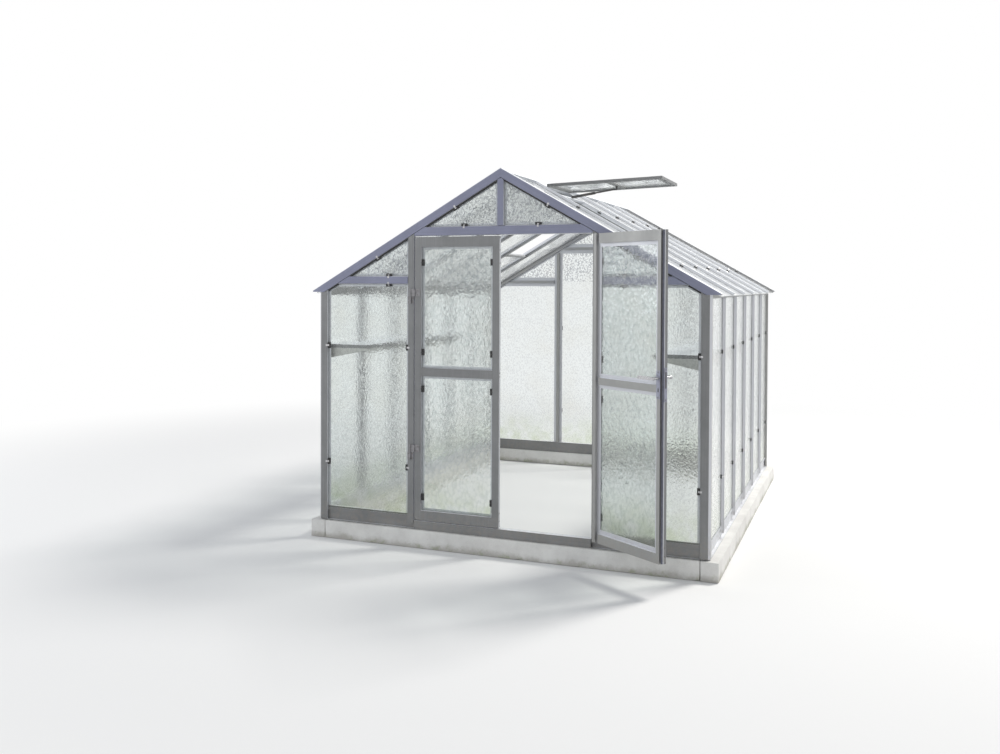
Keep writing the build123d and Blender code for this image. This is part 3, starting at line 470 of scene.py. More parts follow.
uprightAluminium = aluminium("upright_aluminium", "upright", face="gable")
mullionAluminium = aluminium("mullion_aluminium", "upright", mullionSkyLightLook, face="wall")
leafAluminium = aluminium("leaf_aluminium", "upright", leafLook, face="leaf")
levelAluminium = aluminium("level_aluminium", "across")
deepAluminium = aluminium("deep_aluminium", "deep")
slopeAluminium = aluminium("slope_aluminium", "slope")
skyLightAluminium = aluminium("painted_sky_light_aluminium", "slope", paintedSkyLightLook, face="slope")
sunlitRailAluminium = aluminium("painted_sunlight_aluminium", "deep", paintedSkyLightLook)
bracketAluminium = aluminium("bracket_aluminium", "across", bracketLook)
rakeAluminium = aluminium("rake_aluminium", "slope", gableShadeLook, face="gable")
headAluminium = aluminium("head_aluminium", "across", gableShadeLook, face="gable")
kingAluminium = aluminium("king_aluminium", "upright", gableShadeLook, face="gable")
wallGlass = rolledGlass("wall_glass_rolled", "upright")
gableGlass = rolledGlass("gable_glass_rolled", "upright", crinkledLook)
roofGlass = rolledGlass("roof_glass_rolled", "slope", roofSkyReflectionLook)
kerbConcrete = castConcrete("kerb_concrete")
hingeSteel = workedMetal("hinge_steel_dull", (0.31, 0.305, 0.32, 1), (0.21, 0.205, 0.21, 1), 0.42, 0.6)
stayIron = workedMetal("stay_iron", (0.085, 0.085, 0.09, 1), (0.15, 0.14, 0.13, 1), 0.5, 0.7)
springSteel = workedMetal("spring_steel", (0.62, 0.62, 0.63, 1), (0.42, 0.42, 0.43, 1), 0.26, 1.0)
leverSatin = workedMetal("lever_satin", (0.56, 0.56, 0.57, 1), (0.44, 0.44, 0.45, 1), 0.24, 0.7)
lockPlate = workedMetal("lock_plate", (0.33, 0.34, 0.42, 1), (0.26, 0.265, 0.32, 1), 0.36, 0.7)
screwZinc = workedMetal("screw_zinc", (0.30, 0.29, 0.29, 1), (0.20, 0.19, 0.18, 1), 0.40, 0.8, scale=90.0)
# a dark bluish sheet: painted shadow in the groove of the door's free edge
grooveShadowDark = rubber("groove_shadow_dark", (0.075, 0.080, 0.115, 1), (0.14, 0.145, 0.18, 1))
# black rubber for the clip pads; also the painted shadow under the rakes and in the screw recesses
padRubberAndShade = rubber("pad_rubber_and_shade", (0.018, 0.018, 0.020, 1), (0.060, 0.058, 0.056, 1))
# grey beads round the panes: painted shadow line
shadowLineGrey = rubber("shadow_line_grey", (0.30, 0.30, 0.31, 1), (0.44, 0.44, 0.43, 1))


def paint(material, *names):
    for name in names:
        mesh = nodes[name].data
        mesh.materials.clear()
        mesh.materials.append(material)


paint(uprightAluminium, "corner_posts", "door_posts", "rear_posts", "left_door_frame")
paint(mullionAluminium, "left_mullions", "right_mullions")
paint(leafAluminium, "right_door_frame")
paint(kingAluminium, "king_posts")
paint(headAluminium, "front_header", "rear_header", "transoms")
paint(levelAluminium, "front_base_rails", "rear_base_rail", "door_sill")
paint(bracketAluminium, "shelf_brackets")
paint(deepAluminium, "eave_rails", "left_shelf", "right_shelf")
paint(sunlitRailAluminium, "side_base_rails")
paint(rakeAluminium, "gable_rafters")
paint(skyLightAluminium, "left_rafters", "right_rafters", "ridge_beam", "vent_rails")
paint(slopeAluminium, "left_vent_frame", "right_vent_frame")
paint(gableGlass, "front_glass", "rear_glass")
paint(wallGlass, "left_wall_glass", "right_wall_glass", "left_door_glass", "right_door_glass")
paint(roofGlass, "left_roof_glass", "right_roof_glass", "vent_glass")
paint(hingeSteel, "left_door_hinges", "right_door_hinges", "post_hinges")
paint(leverSatin, "right_door_levers")
paint(lockPlate, "right_door_lock")
paint(stayIron, "vent_stays")
paint(kerbConcrete, "front_kerb", "side_kerbs", "rear_kerb")
print("materials made:", len(bpy.data.materials))


# Geometry node trees: each ends in real faces with their material, and is turned into a plain mesh

def newGeometryTree(name, sizes):
    tree = bpy.data.node_groups.new(name, "GeometryNodeTree")
    tree.interface.new_socket("Geometry", in_out="INPUT", socket_type="NodeSocketGeometry")
    for label, value in sizes.items():
        kind = "NodeSocketVector" if isinstance(value, tuple) else "NodeSocketFloat"
        kind = "NodeSocketInt" if isinstance(value, int) else kind
        tree.interface.new_socket(label, in_out="INPUT", socket_type=kind).default_value = value
    tree.interface.new_socket("Geometry", in_out="OUTPUT", socket_type="NodeSocketGeometry")
    return tree, tree.nodes.new("NodeGroupInput").outputs


def geoNode(tree, kind, inputs=None, **settings):
    # the first output of a geometry node
    return addNode(tree, "GeometryNode" + kind, inputs, **settings).outputs[0]


def endTree(tree, geometry):
    real = geoNode(tree, "RealizeInstances", {"Geometry": geometry})
    tree.links.new(real, tree.nodes.new("NodeGroupOutput").inputs[0])


def withMaterial(tree, geometry, material):
    return geoNode(tree, "SetMaterial", {"Geometry": geometry, "Material": material})


def joined(tree, *parts):
    node = addNode(tree, "GeometryNodeJoinGeometry")
    for part in parts:
        tree.links.new(part, node.inputs[0])
    return node.outputs[0]


def moved(tree, geometry, offset):
    return geoNode(tree, "Transform", {"Geometry": geometry, "Translation": offset})


def shifted(tree, geometry, offset):
    return geoNode(tree, "SetPosition", {"Geometry": geometry, "Offset": offset})


def compare(tree, first, operation, second, kind="FLOAT"):
    return addNode(tree, "FunctionNodeCompare", {"A": first, "B": second}, data_type=kind,
                   operation=operation).outputs[0]


def both(tree, first, second):
    return addNode(tree, "FunctionNodeBooleanMath", {0: first, 1: second}, operation="AND").outputs[0]


def swept(tree, curve, width, height):
    profile = geoNode(tree, "CurvePrimitiveQuadrilateral", {"Width": width, "Height": height})
    return geoNode(tree, "CurveToMesh", {"Curve": curve, "Profile Curve": profile, "Fill Caps": True})


def boxPart(tree, size, centre):
    return moved(tree, geoNode(tree, "MeshCube", {"Size": size}), centre)


def grow(name, body, mesh, tree, sizes, smoothAngle=40.0):
    # runs a tree on a mesh and keeps the result as a plain mesh that rides on a body
    carrier = bpy.data.objects.new(name + "_carrier", mesh)
    scene.collection.objects.link(carrier)
    modifier = carrier.modifiers.new("tree", "NODES")
    modifier.node_group = tree
    for item in tree.interface.items_tree:
        if item.in_out == "INPUT" and item.name in sizes:
            modifier[item.identifier] = sizes[item.name]
    graph = bpy.context.evaluated_depsgraph_get()
    made = bpy.data.meshes.new_from_object(carrier.evaluated_get(graph), depsgraph=graph)
    bpy.data.objects.remove(carrier)
    for polygon in made.polygons:
        polygon.use_smooth = True
    made.set_sharp_from_angle(angle=math.radians(smoothAngle))
    piece = bpy.data.objects.new(name, made)
    made.name = name
    scene.collection.objects.link(piece)
    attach(piece, body)
    return piece


def placesMesh(places):
    # one point for each fitting, with the way it faces and the way it lies
    mesh = bpy.data.meshes.new("places")
    mesh.from_pydata([place[0] for place in places], [], [])
    for label, index in (("faceOut", 1), ("across", 2)):
        attribute = mesh.attributes.new(label, "FLOAT_VECTOR", "POINT")
        attribute.data.foreach_set("vector", [c for place in places for c in place[index]])
    return mesh


def fitPieces(name, body, places, tree, sizes):
    grow(name, body, placesMesh(places), tree, sizes)


def setOnPlaces(tree, group, fitting):
    # sets the fitting on each point, its z along faceOut and its x along across
    out, across = (geoNode(tree, "InputNamedAttribute", {"Name": label}, data_type="FLOAT_VECTOR")
                   for label in ("faceOut", "across"))
    turn = addNode(tree, "FunctionNodeAxesToRotation", {"Primary Axis": out, "Secondary Axis": across},
                   primary_axis="Z", secondary_axis="X")
    return geoNode(tree, "InstanceOnPoints", {"Points": group["Geometry"], "Instance": fitting,
                                              "Rotation": turn.outputs[0]})


clipSizes = {
    "Cap face": 0.026,        # width of the bar's outer face
    "Cap base": 0.042,        # width of the bar where the glass starts
    "Cap height": 0.016,
    "Pad reach": 0.012,       # from the bar out over the glass
    "Pad length": 0.024,      # along the bar
    "Pad height": 0.006,
    "Strip width": 0.007,
    "Strip thickness": 0.0009,
    "Strip gap": 0.0004,      # between the strip's middle and the pad
    "Spring foot": 0.003,     # how far beyond the bar the strip comes down
    "Hook reach": 0.004,      # back over the bar's face
    "Hook lift": 0.0006,
    "Hook fall": 0.005,
}


stripPoints = 25


def stripAlong(tree, group, startX, endX, heightAt):
    # a flat spring swept along a bent line
    line = geoNode(tree, "CurvePrimitiveLine", {"Start": vector(tree, startX, 0.0, 0.0),
                                                "End": vector(tree, endX, 0.0, 0.0)})
    points = geoNode(tree, "ResampleCurve", {"Curve": line, "Count": stripPoints})
    bent = shifted(tree, points, vector(tree, 0.0, 0.0, heightAt))
    upright = addNode(tree, "GeometryNodeSetCurveNormal", {"Curve": bent}, mode="FREE")
    upright.inputs["Normal"].default_value = (0, 1, 0)
    return swept(tree, upright.outputs[0], group["Strip width"], group["Strip thickness"])


def padAt(tree, group, middle):
    size = vector(tree, group["Pad reach"], group["Pad length"], group["Pad height"])
    return boxPart(tree, size, vector(tree, middle, 0.0, times(tree, group["Pad height"], 0.5)))


def barClipTree():
    # a spring strip over the whole bar with a rubber pad on the pane at each side
    tree, group = newGeometryTree("bar clip", clipSizes)
    halfBase = times(tree, group["Cap base"], 0.5)
    halfFace = times(tree, group["Cap face"], 0.5)
    end = plus(tree, halfBase, times(tree, group["Pad reach"], 0.9))
    away = magnitude(tree, axesOf(tree, geoNode(tree, "InputPosition"))["X"])
    over = plus(tree, group["Cap height"], times(tree, group["Strip thickness"], 1.2))
    onPad = plus(tree, group["Pad height"], group["Strip gap"])
    rise = mapRange(tree, away, halfFace, plus(tree, halfBase, group["Spring foot"]), over, onPad)
    strip = withMaterial(tree, stripAlong(tree, group, times(tree, end, -1.0), end, rise), springSteel)
    middle = plus(tree, halfBase, times(tree, group["Pad reach"], 0.5))
    pads = [padAt(tree, group, times(tree, middle, sign)) for sign in (-1.0, 1.0)]
    rubberPads = withMaterial(tree, joined(tree, *pads), padRubberAndShade)
    endTree(tree, setOnPlaces(tree, group, joined(tree, strip, rubberPads)))
    return tree


def edgeClipTree(name, metal):
    # a short tongue from the side of a post's cap down to a pad on the pane
    tree, group = newGeometryTree(name, clipSizes)
    start = plus(tree, group["Cap height"], group["Hook lift"])
    onPad = plus(tree, group["Pad height"], group["Strip gap"])
    along = axesOf(tree, geoNode(tree, "InputPosition"))["X"]
    rise = mapRange(tree, along, 0.0, group["Hook fall"], start, onPad)
    back, tip = times(tree, group["Hook reach"], -1.0), times(tree, group["Pad reach"], 0.55)
    strip = withMaterial(tree, stripAlong(tree, group, back, tip, rise), metal)
    pad = withMaterial(tree, padAt(tree, group, times(tree, group["Pad reach"], 0.5)), padRubberAndShade)
    endTree(tree, setOnPlaces(tree, group, joined(tree, strip, pad)))
    return tree


screwSizes = {"Head radius": 0.0045, "Head height": 0.0022, "Crown share": 0.62, "Recess length": 0.0052,
              "Recess width": 0.0009, "Recess depth": 0.0002, "Sides": 16}


def screwTree():
    # a pan head with a cross recess, drawn as a thin black cross: painted shade in the recess
    tree, group = newGeometryTree("pan head screw", screwSizes)
    radius, sides = group["Head radius"], group["Sides"]
    half = times(tree, group["Head height"], 0.5)
    rim = geoNode(tree, "MeshCylinder", {"Vertices": sides, "Radius": radius, "Depth": half})
    rim = moved(tree, rim, vector(tree, 0.0, 0.0, times(tree, half, 0.5)))
    dome = geoNode(tree, "MeshCone", {"Vertices": sides, "Radius Bottom": radius, "Depth": half,
                                      "Radius Top": times(tree, radius, group["Crown share"])})
    dome = moved(tree, dome, vector(tree, 0.0, 0.0, half))
    head = withMaterial(tree, joined(tree, rim, dome), screwZinc)
    top = vector(tree, 0.0, 0.0, times(tree, group["Head height"], 0.97))
    length, width, depth = group["Recess length"], group["Recess width"], group["Recess depth"]
    arms = [boxPart(tree, vector(tree, *spans, depth), top) for spans in ((length, width), (width, length))]
    recessShade = withMaterial(tree, joined(tree, *arms), padRubberAndShade)
    endTree(tree, setOnPlaces(tree, group, joined(tree, head, recessShade)))
    return tree


shadowBeadSizes = {
    "Outward": (0.0, 0.0, 1.0),
    "Bead width": 0.0026,
    "Bead height": 0.0016,
    "Lowest": -1.0,           # edges wholly below this get no bead
    "Least slope": -1.0,      # and level or upright ones none where this is above 0
}
# wide black beads under the rakes: painted shadow of the rake's cap
rakeShadowSizes = {**shadowBeadSizes, "Bead width": 0.006, "Bead height": 0.012, "Least slope": 0.02}


def shadowBeadTree(name, material):
    # a dark bead round each pane, on the faces that look outwards: a painted shadow line along the caps
    tree, group = newGeometryTree(name, shadowBeadSizes)
    merged = geoNode(tree, "MergeByDistance", {"Geometry": group["Geometry"], "Distance": 0.00005})
    facing = vectorMath(tree, "DOT_PRODUCT", geoNode(tree, "InputNormal"), group["Outward"])["Value"]
    hidden = compare(tree, facing, "LESS_THAN", 0.5)
    faces = geoNode(tree, "DeleteGeometry", {"Geometry": merged, "Selection": hidden}, domain="FACE")
    border = compare(tree, geoNode(tree, "InputMeshEdgeNeighbors"), "EQUAL", 1, kind="INT")
    ends = addNode(tree, "GeometryNodeInputMeshEdgeVertices").outputs
    first, second = ends["Position 1"], ends["Position 2"]
    top = larger(tree, axesOf(tree, first)["Z"], axesOf(tree, second)["Z"])
    higher = compare(tree, top, "GREATER_THAN", group["Lowest"])
    run = vectorMath(tree, "SUBTRACT", first, second)[0]
    spans = axesOf(tree, vectorMath(tree, "ABSOLUTE", run)[0])
    slope = smaller(tree, plus(tree, spans["X"], spans["Y"]), spans["Z"])
    steep = compare(tree, slope, "GREATER_THAN", group["Least slope"])
    chosen = both(tree, both(tree, border, higher), steep)
    line = geoNode(tree, "MeshToCurve", {"Mesh": faces, "Selection": chosen})
    raised = shifted(tree, line, scaled(tree, group["Outward"], times(tree, group["Bead height"], 0.5)))
    bead = swept(tree, raised, group["Bead width"], group["Bead height"])
    endTree(tree, withMaterial(tree, bead, material))
    return tree


kerbSizes = {
    "Size": (1.0, 1.0, 1.0),
    "Centre": (0.0, 0.0, 0.0),
    "Edge radius": 0.006,
    "Unevenness": 0.0022,
    "Grain scale": 26.0,
    "Chip scale": 11.0,
}
kerbMesh = {"Along X": 2, "Along Y": 2, "Along Z": 12}
kerbStep = 0.009


def kerbTree():
    # a cast beam whose faces and arrises sink a little inside its box
    tree, group = newGeometryTree("cast kerb", {**kerbSizes, **kerbMesh})
    counts = {f"Vertices {axis}": group[f"Along {axis}"] for axis in "XYZ"}
    cube = geoNode(tree, "MeshCube", {"Size": group["Size"], **counts})
    where = geoNode(tree, "InputPosition")
    half = vectorMath(tree, "MULTIPLY", group["Size"], (0.5, 0.5, 0.5))[0]
    away = vectorMath(tree, "ABSOLUTE", where)[0]
    margins = axesOf(tree, vectorMath(tree, "SUBTRACT", half, away)[0])
    # a vertex near two faces at once is near an arris
    reach = times(tree, group["Edge radius"], 2.0)
    near = [mapRange(tree, margins[axis], 0.0, reach, 1.0, 0.0) for axis in "XYZ"]
    arris = larger(tree, minus(tree, plus(tree, plus(tree, near[0], near[1]), near[2]), 1.0), 0.0)
    placed = vectorMath(tree, "ADD", where, group["Centre"])[0]
    grain = mapRange(tree, noise(tree, placed, group["Grain scale"], detail=4, roughness=0.6), 0.3, 0.7)
    chips = mapRange(tree, noise(tree, placed, group["Chip scale"], detail=5, roughness=0.7), 0.54, 0.72)
    sink = times(tree, grain, group["Unevenness"])
    rounding = times(tree, group["Edge radius"], plus(tree, 0.35, times(tree, chips, 0.8)))
    depth = times(tree, plus(tree, sink, times(tree, arris, rounding)), -1.0)
    worn = shifted(tree, cube, scaled(tree, geoNode(tree, "InputNormal"), depth))
    endTree(tree, withMaterial(tree, moved(tree, worn, group["Centre"]), kerbConcrete))
    return tree


barClip, screw, castKerb = barClipTree(), screwTree(), kerbTree()
edgeClip, doorClip = edgeClipTree("edge clip", springSteel), edgeClipTree("door clip", stayIron)
greyShadowBead, rakeShadowBead = shadowBeadTree("glazing shadow bead", shadowLineGrey), shadowBeadTree("rake shadow bead", padRubberAndShade)
print("geometry trees made:", len(bpy.data.node_groups))

# Glazing clips: a place is a point, the way the clip faces and the way it reaches over the pane
clipPlaces = {
    "wallHeights": (0.497, 1.255),
    "roofDistances": (0.40, 1.16),
    "doorHeights": (0.32, 1.00, 1.23, 1.79),
    "cornerInset": 0.0015,
    "transomX": 0.76,
    "transomFoot": 1.655,     # edges of the transom's cap
    "transomTop": 1.706,
    "headerX": 0.24,
    "headerLedge": 0.015,     # the ledge above the bar is not seen
    "rakeXs": (0.30, 0.84),
}
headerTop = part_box("front_header")[1].z - clipPlaces["headerLedge"]
postInner, postOuter = houseSizes["doorwayHalf"], houseSizes["doorwayHalf"] + houseSizes["doorPost"]
cornerInner = wallX - houseSizes["cornerPost"]


def wallClipPlaces(side):
    x = side * (wallX - glassSetback)
    return [((x, y, z), (side, 0, 0), (0, 1, 0)) for y in barYs for z in clipPlaces["wallHeights"]]


def roofClipPlaces(side):
    return [(roofPoint(side, distance, -glassSetback, y), roofOut(side), (0, 1, 0))
            for y in barYs for distance in clipPlaces["roofDistances"]]


def cornerClipPlaces():
    places = []
    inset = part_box("left_wall_glass")[0].y - clipPlaces["cornerInset"]
    gables = ((inset, (0, 1, 0)), (houseLength - inset, (0, -1, 0)))
    for side in (-1, 1):
        x = side * (wallX - glassSetback)
        places += [((x, y, z), (side, 0, 0), way) for z in clipPlaces["wallHeights"] for y, way in gables]
        places += [(roofPoint(side, distance, -glassSetback, y), roofOut(side), way)
                   for distance in clipPlaces["roofDistances"] for y, way in gables]
    return places


def rakeUnderside(x):
    # height of the lower edge of the rake's cap
    return apexZ - houseSizes["rakeWidth"] / math.cos(roofAngle) - x * math.tan(roofAngle)


def gableClipPlaces(y, outY, rear):
    out = (0, outY, 0)
    heights = clipPlaces["wallHeights"]
    places = []
    for side in (-1, 1):
        edges = [(postOuter, side), (cornerInner, -side)]
        if rear:
            edges += [(postInner, -side), (houseSizes["kingPost"] / 2, side)]
        places += [((side * x, y, z), out, (way, 0, 0)) for z in heights for x, way in edges]
        for x, z, way in ((clipPlaces["transomX"], clipPlaces["transomTop"], 1),
                          (clipPlaces["transomX"], clipPlaces["transomFoot"], -1),
                          (clipPlaces["headerX"], headerTop, 1)):
            places.append(((side * x, y, z), out, (0, 0, way)))
        for x in clipPlaces["rakeXs"]:
            places.append(((side * x, y, rakeUnderside(x)), out, tuple(-roofOut(side))))
    return places


def doorClipPlaces(name):
    origin, along, out = leafAxes(name)
    edges = ((doorLeaf["startU"] + doorLeaf["stile"], along), (doorLeaf["endU"] - doorLeaf["stile"], -along))
    return [(leafPoint(name, u, glassSetback, z), out, way)
            for z in clipPlaces["doorHeights"] for u, way in edges]


barClipSizes = {**clipSizes, "Cap face": houseSizes["wallBarFace"], "Cap base": houseSizes["wallBarBase"]}
gableClipSizes = {**clipSizes, "Pad reach": 0.016, "Pad length": 0.038, "Pad height": 0.010,
                  "Strip width": 0.011, "Hook reach": 0.013}
doorClipSizes = {**clipSizes, "Pad reach": 0.016, "Pad length": 0.040, "Pad height": 0.012,
                 "Strip width": 0.0035}
for side, name in ((-1, "left"), (1, "right")):
    fitPieces(f"{name}_wall_clips", "house", wallClipPlaces(side), barClip, barClipSizes)
    fitPieces(f"{name}_roof_clips", "house", roofClipPlaces(side), barClip, barClipSizes)
fitPieces("corner_clips", "house", cornerClipPlaces(), edgeClip, clipSizes)
for name, y, outY in (("front", glassSetback, -1), ("rear", houseLength - glassSetback, 1)):
    places = gableClipPlaces(y, outY, rear=name == "rear")
    fitPieces(f"{name}_gable_clips", "house", places, edgeClip, gableClipSizes)
for name in ("left", "right"):
    fitPieces(f"{name}_door_clips", f"{name}_door", doorClipPlaces(name), doorClip, doorClipSizes)
print("clips set")

# Screws: where each one sits, which way its head looks and which way its recess lies
screwPlaces = {
    "hingeHeights": (0.600, 1.579),
    "plateHalf": 0.023,         # from the middle of a hinge half to its ends
    "plateThickness": 0.0025,
    "plateInset": 0.010,
    "postPlateX": 0.014,        # to each side of the hinge axis
    "leafPlateU": 0.047,        # along the leaf, the middle of the hinge's plate on the stile
    "stileHeights": (0.215, 0.262, 1.095, 1.117, 1.785, 1.865, 1.940),
    "stileDepth": 0.012,
    "lockSpan": (1.03, 1.23),   # no stile screws where the lock's forend lies
    "lockZ": 1.128,
    "lockHalf": 0.066,
    "lockPlate": 0.003,
    "forend": 0.002,
    "forendHalf": 0.080,
}
plateReach = screwPlaces["plateHalf"] - screwPlaces["plateInset"]


def postScrewPlaces():
    # the hinge halves on the door posts, two screws each
    places = []
    for side in (-1, 1):
        for z in screwPlaces["hingeHeights"]:
            for x in (hingeX - screwPlaces["postPlateX"], hingeX + screwPlaces["postPlateX"]):
                for way in (-1, 1):
                    height = z - screwPlaces["plateHalf"] + way * plateReach
                    at = (side * x, -screwPlaces["plateThickness"], height)
                    places.append((at, (0, -1, 0), (1, 0, way)))
    return places


def leafScrewPlaces(name):
    # the hinge plates and the corner screws in both edges of the leaf
    origin, along, out = leafAxes(name)
    places = []
    for z in screwPlaces["hingeHeights"]:
        for way in (-1, 1):
            at = leafPoint(name, screwPlaces["leafPlateU"], -screwPlaces["plateThickness"],
                           z + screwPlaces["plateHalf"] + way * plateReach)
            places.append((at, out, (0, way, 1)))
    lockLow, lockHigh = screwPlaces["lockSpan"]
    depth = screwPlaces["stileDepth"]
    for number, z in enumerate(screwPlaces["stileHeights"]):
        turn = (0, number % 3 - 1, 1)   # no two recesses in a row lie alike
        places.append((leafPoint(name, doorLeaf["startU"], depth, z), -along, turn))
        if name == "left" or not lockLow < z < lockHigh:
            places.append((leafPoint(name, doorLeaf["endU"], depth, z), along, turn))
    return places


def lockScrewPlaces():
    origin, along, out = leafAxes("right")
    middle = doorLeaf["endU"] - doorLeaf["stile"] / 2
    plate = screwPlaces["lockPlate"]
    forendU = doorLeaf["endU"] + screwPlaces["forend"]
    places = []
    for way in (-1, 1):
        z = screwPlaces["lockZ"] + way * screwPlaces["lockHalf"]
        places.append((leafPoint("right", middle, -plate, z), out, (0, way, 1)))
        places.append((leafPoint("right", middle, doorLeaf["depth"] + plate, z), -out, (0, 1, way)))
        edge = screwPlaces["lockZ"] + way * screwPlaces["forendHalf"]
        at = leafPoint("right", forendU, screwPlaces["stileDepth"], edge)
        places.append((at, along, (0, way, 1)))
    return places


fitPieces("post_screws", "house", postScrewPlaces(), screw, screwSizes)
for name in ("left", "right"):
    places = leafScrewPlaces(name) + (lockScrewPlaces() if name == "right" else [])
    fitPieces(f"{name}_door_screws", f"{name}_door", places, screw, screwSizes)
print("screws driven")


# Plain boxes on the right door, from two limits each along the leaf, through it and upwards

def leafBox(us, depths, heights):
    return [leafPoint("right", u, depth, z) for u in us for depth in depths for z in heights]


def around(middle, width):
    return middle - width / 2, middle + width / 2


def boxesPiece(name, boxes, material):
    quads = ((0, 1, 3, 2), (4, 6, 7, 5), (0, 4, 5, 1), (2, 3, 7, 6), (0, 2, 6, 4), (1, 5, 7, 3))
    faces = [tuple(8 * number + corner for corner in quad) for number in range(len(boxes)) for quad in quads]
    mesh = bpy.data.meshes.new(name)
    mesh.from_pydata([point for box in boxes for point in box], [], faces)
    work = bmesh.new()
    work.from_mesh(mesh)
    bmesh.ops.recalc_face_normals(work, faces=work.faces)
    work.to_mesh(mesh)
    work.free()
    mesh.materials.append(material)
    piece = bpy.data.objects.new(name, mesh)
    scene.collection.objects.link(piece)
    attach(piece, "right_door")


# Dark sheets for the openings of the lock, the mouth for the latch in the free edge and a keyhole in each
# plate: painted shadow inside them
latchSizes = {
    "mouthZ": 1.152,
    "mouthHeight": 0.088,
    "mouthWidth": 0.009,
    "mouthDepthIn": 0.012,     # from the leaf's outer face
    "forend": 0.002,
    "keyholeZ": 1.100,
    "keyholeHeight": 0.019,
    "keyholeWidth": 0.008,
    "plate": 0.0031,
    "thickness": 0.0005,
}


def lockOpeningShadows():
    sizes = latchSizes
    edge = doorLeaf["endU"] + sizes["forend"]
    boxes = [leafBox((edge, edge + sizes["thickness"]), around(sizes["mouthDepthIn"], sizes["mouthWidth"]),
                     around(sizes["mouthZ"], sizes["mouthHeight"]))]
    across = around(doorLeaf["endU"] - doorLeaf["stile"] / 2, sizes["keyholeWidth"])
    for face in (-sizes["plate"] - sizes["thickness"], doorLeaf["depth"] + sizes["plate"]):
        boxes.append(leafBox(across, (face, face + sizes["thickness"]),
                             around(sizes["keyholeZ"], sizes["keyholeHeight"])))
    boxesPiece("lock_opening_shadows", boxes, stayIron)


grooveShadowSizes = {"depths": (0.0245, 0.0385), "thickness": 0.0006, "endGap": 0.003}


def grooveShadowStrip():
    # a dark flat sheet on the free edge, the whole height of the leaf: painted shadow of the groove there
    edge = (doorLeaf["endU"], doorLeaf["endU"] + grooveShadowSizes["thickness"])
    heights = (doorLeaf["footZ"] + grooveShadowSizes["endGap"], leafTopZ - grooveShadowSizes["endGap"])
    boxesPiece("groove_shadow_strip", [leafBox(edge, grooveShadowSizes["depths"], heights)], grooveShadowDark)


lockOpeningShadows()
grooveShadowStrip()

# Dark beads round the panes: painted shadow lines along the caps
beadNodes = {
    "front_glass": ("house", (0, -1, 0)),
    "rear_glass": ("house", (0, 1, 0)),
    "left_wall_glass": ("house", (-1, 0, 0)),
    "right_wall_glass": ("house", (1, 0, 0)),
    "left_roof_glass": ("house", roofOut(-1)),
    "right_roof_glass": ("house", roofOut(1)),
    "vent_glass": ("house", (0, 0, 1)),
    "left_door_glass": ("left_door", leafAxes("left")[2]),
    "right_door_glass": ("right_door", leafAxes("right")[2]),
}
eaveGap = 0.02


def layBead(name, body, node, tree, sizes, outward):
    pane = nodes[node].data.copy()
    grow(name, body, pane, tree, {**sizes, "Outward": tuple(outward)}, smoothAngle=30)


for node, (body, outward) in beadNodes.items():
    lowest = {"Lowest": houseSizes["eaveZ"] + eaveGap} if "roof" in node else {}
    layBead(node.replace("glass", "seals"), body, node, greyShadowBead, {**shadowBeadSizes, **lowest}, outward)
for gable in ("front", "rear"):
    node = f"{gable}_glass"
    layBead(f"{gable}_rake_seals", "house", node, rakeShadowBead, rakeShadowSizes, beadNodes[node][1])
print("seals laid")


# The kerb, as cast: the same beams with worn arrises

def kerbPiece(name, node, boxes):
    parts = []
    for low, high in boxes:
        size = high - low
        counts = {f"Along {axis}": max(3, round(length / kerbStep)) for axis, length in zip("XYZ", size)}
        parts.append(grow(f"{name}_{len(parts)}", "house", bpy.data.meshes.new("empty"), castKerb,
                          {**kerbSizes, "Size": tuple(size), "Centre": tuple((low + high) / 2), **counts}))
    if len(parts) > 1:
        with bpy.context.temp_override(active_object=parts[0], selected_editable_objects=parts):
            bpy.ops.object.join()
    parts[0].name = name
    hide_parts(node)


sideLow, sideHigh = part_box("side_kerbs")
kerbWidth = houseSizes["kerbWidth"]
kerbPiece("front_kerb_cast", "front_kerb", [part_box("front_kerb")])
kerbPiece("rear_kerb_cast", "rear_kerb", [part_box("rear_kerb")])
kerbPiece("side_kerbs_cast", "side_kerbs", [
    (sideLow, Vector((sideLow.x + kerbWidth, sideHigh.y, sideHigh.z))),
    (Vector((sideHigh.x - kerbWidth, sideLow.y, sideLow.z)), sideHigh)])
print("kerb cast")

# Studio: a pale floor that fades into a white surround, a key lamp behind on the right
# and a soft fill in front
studio = {
    "floorRadius": 60.0,
    "floorSides": 96,
    "floorColour": (0.86, 0.86, 0.86, 1),
    "surroundColour": (1, 1, 1, 1),
    "fadeStart": 3.4,
    "fadeEnd": 7.5,
    "skyColour": (0.93, 0.96, 1.0, 1),
    "ambient": 0.55,
    "keyPower": 900.0,
    "keyColour": (1.0, 0.97, 0.92),
    "keyPlace": (4.8, 4.8, 9.2),
    "keySize": 2.4,
    "fillPower": 150.0,
    "fillColour": (0.93, 0.96, 1.0),
    "fillPlace": (-7.5, -3.2, 4.0),
    "fillSize": 5.0,
}
houseMiddle = Vector((0, houseLength / 2, 1.0))


def seesBackground(tree):
    path = addNode(tree, "ShaderNodeLightPath").outputs
    bounced = larger(tree, path["Is Glossy Ray"], path["Is Transmission Ray"])
    return larger(tree, path["Is Camera Ray"], bounced)


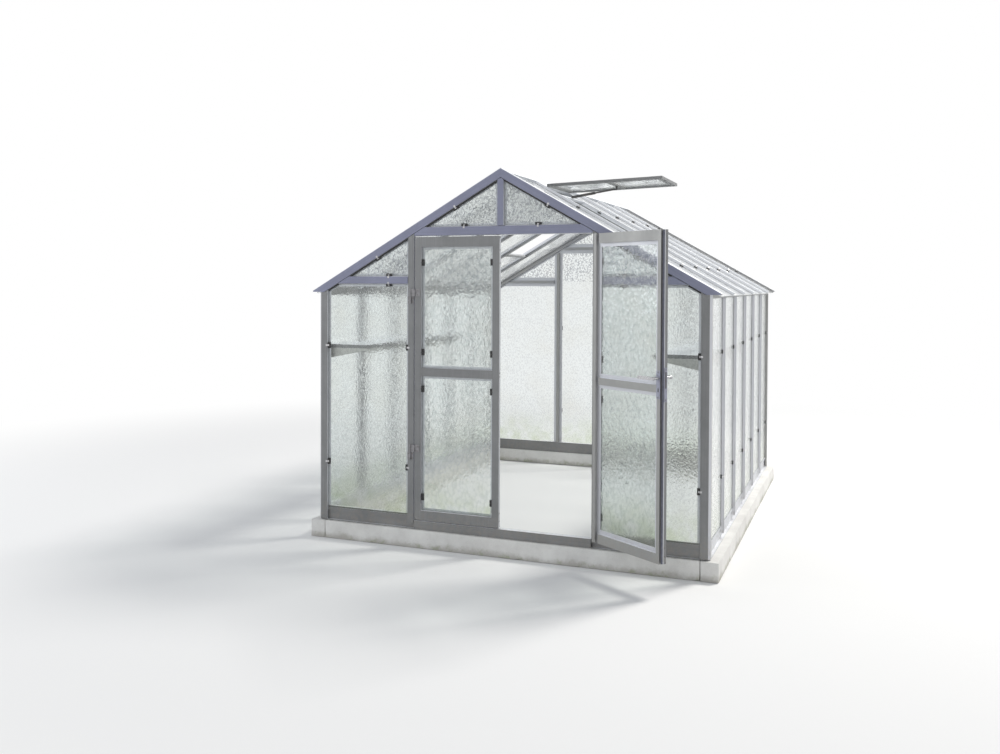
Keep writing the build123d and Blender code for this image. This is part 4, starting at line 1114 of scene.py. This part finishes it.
def studioFloor():
    mesh = bpy.data.meshes.new("studio_floor")
    count = studio["floorSides"]
    turns = [2 * math.pi * i / count for i in range(count)]
    rim = [(studio["floorRadius"] * math.cos(turn), houseMiddle.y + studio["floorRadius"] * math.sin(turn), 0)
           for turn in turns]
    mesh.from_pydata(rim, [], [tuple(range(count))])
    floor = bpy.data.objects.new("studio_floor", mesh)
    scene.collection.objects.link(floor)
    material, tree, shader, place = newMaterial("floor_paint")
    shader.inputs["Base Color"].default_value = studio["floorColour"]
    shader.inputs["Roughness"].default_value = 0.9
    shader.inputs["Specular IOR Level"].default_value = 0.1
    glow = addNode(tree, "ShaderNodeEmission", {"Color": studio["surroundColour"], "Strength": 1.0})
    centred = vectorMath(tree, "SUBTRACT", place, tuple(houseMiddle))[0]
    level = vectorMath(tree, "MULTIPLY", centred, (1, 1, 0))[0]
    distance = vectorMath(tree, "LENGTH", level)["Value"]
    fade = mapRange(tree, distance, studio["fadeStart"], studio["fadeEnd"], smooth=True)
    mixShaders(tree, times(tree, fade, seesBackground(tree)), shader, glow)
    mesh.materials.append(material)


def studioWorld():
    world = bpy.data.worlds.new("studio")
    scene.world = world
    world.use_nodes = True
    tree = world.node_tree
    lighting = tree.nodes["Background"]
    lighting.inputs["Color"].default_value = studio["skyColour"]
    lighting.inputs["Strength"].default_value = studio["ambient"]
    shown = addNode(tree, "ShaderNodeBackground", {"Color": studio["surroundColour"], "Strength": 1.0})
    mixShaders(tree, seesBackground(tree), lighting, shown, "World Output")


def softLamp(name):
    lamp = bpy.data.lights.new(f"{name}_lamp", "AREA")
    lamp.shape = "SQUARE"
    lamp.size = studio[f"{name}Size"]
    lamp.energy = studio[f"{name}Power"]
    lamp.color = studio[f"{name}Colour"]
    place = Vector(studio[f"{name}Place"])
    holder = bpy.data.objects.new(f"{name}_lamp", lamp)
    holder.matrix_world = (Matrix.Translation(place)
                           @ (houseMiddle - place).to_track_quat("-Z", "Y").to_matrix().to_4x4())
    scene.collection.objects.link(holder)


studioFloor()
studioWorld()
softLamp("key")
softLamp("fill")

# The camera that took the picture, solved from the corners of the frame
viewpoint = {
    "place": (2.1027, -5.3853, 1.6554),
    "yaw": 0.3809,
    "pitch": -0.0163,
    "roll": 0.0041,
    "sensor": 36.0,
    "lens": 34.43,
    "shiftX": 0.0084,
    "shiftY": -0.077,
}


def photoCamera():
    data = bpy.data.cameras.new("camera")
    data.sensor_width = viewpoint["sensor"]
    data.lens = viewpoint["lens"]
    data.shift_x = viewpoint["shiftX"]
    data.shift_y = viewpoint["shiftY"]
    yaw, pitch, roll = viewpoint["yaw"], viewpoint["pitch"], viewpoint["roll"]
    forward = Vector((-math.sin(yaw) * math.cos(pitch), math.cos(yaw) * math.cos(pitch), math.sin(pitch)))
    right = Vector((math.cos(yaw), math.sin(yaw), 0))
    up = right.cross(forward)
    rolledRight = right * math.cos(roll) + up * math.sin(roll)
    rolledUp = rolledRight.cross(forward)
    turn = Matrix((rolledRight, rolledUp, -forward)).transposed().to_4x4()
    camera = bpy.data.objects.new("camera", data)
    camera.matrix_world = Matrix.Translation(Vector(viewpoint["place"])) @ turn
    scene.collection.objects.link(camera)
    scene.camera = camera


photoCamera()
print("studio ready")
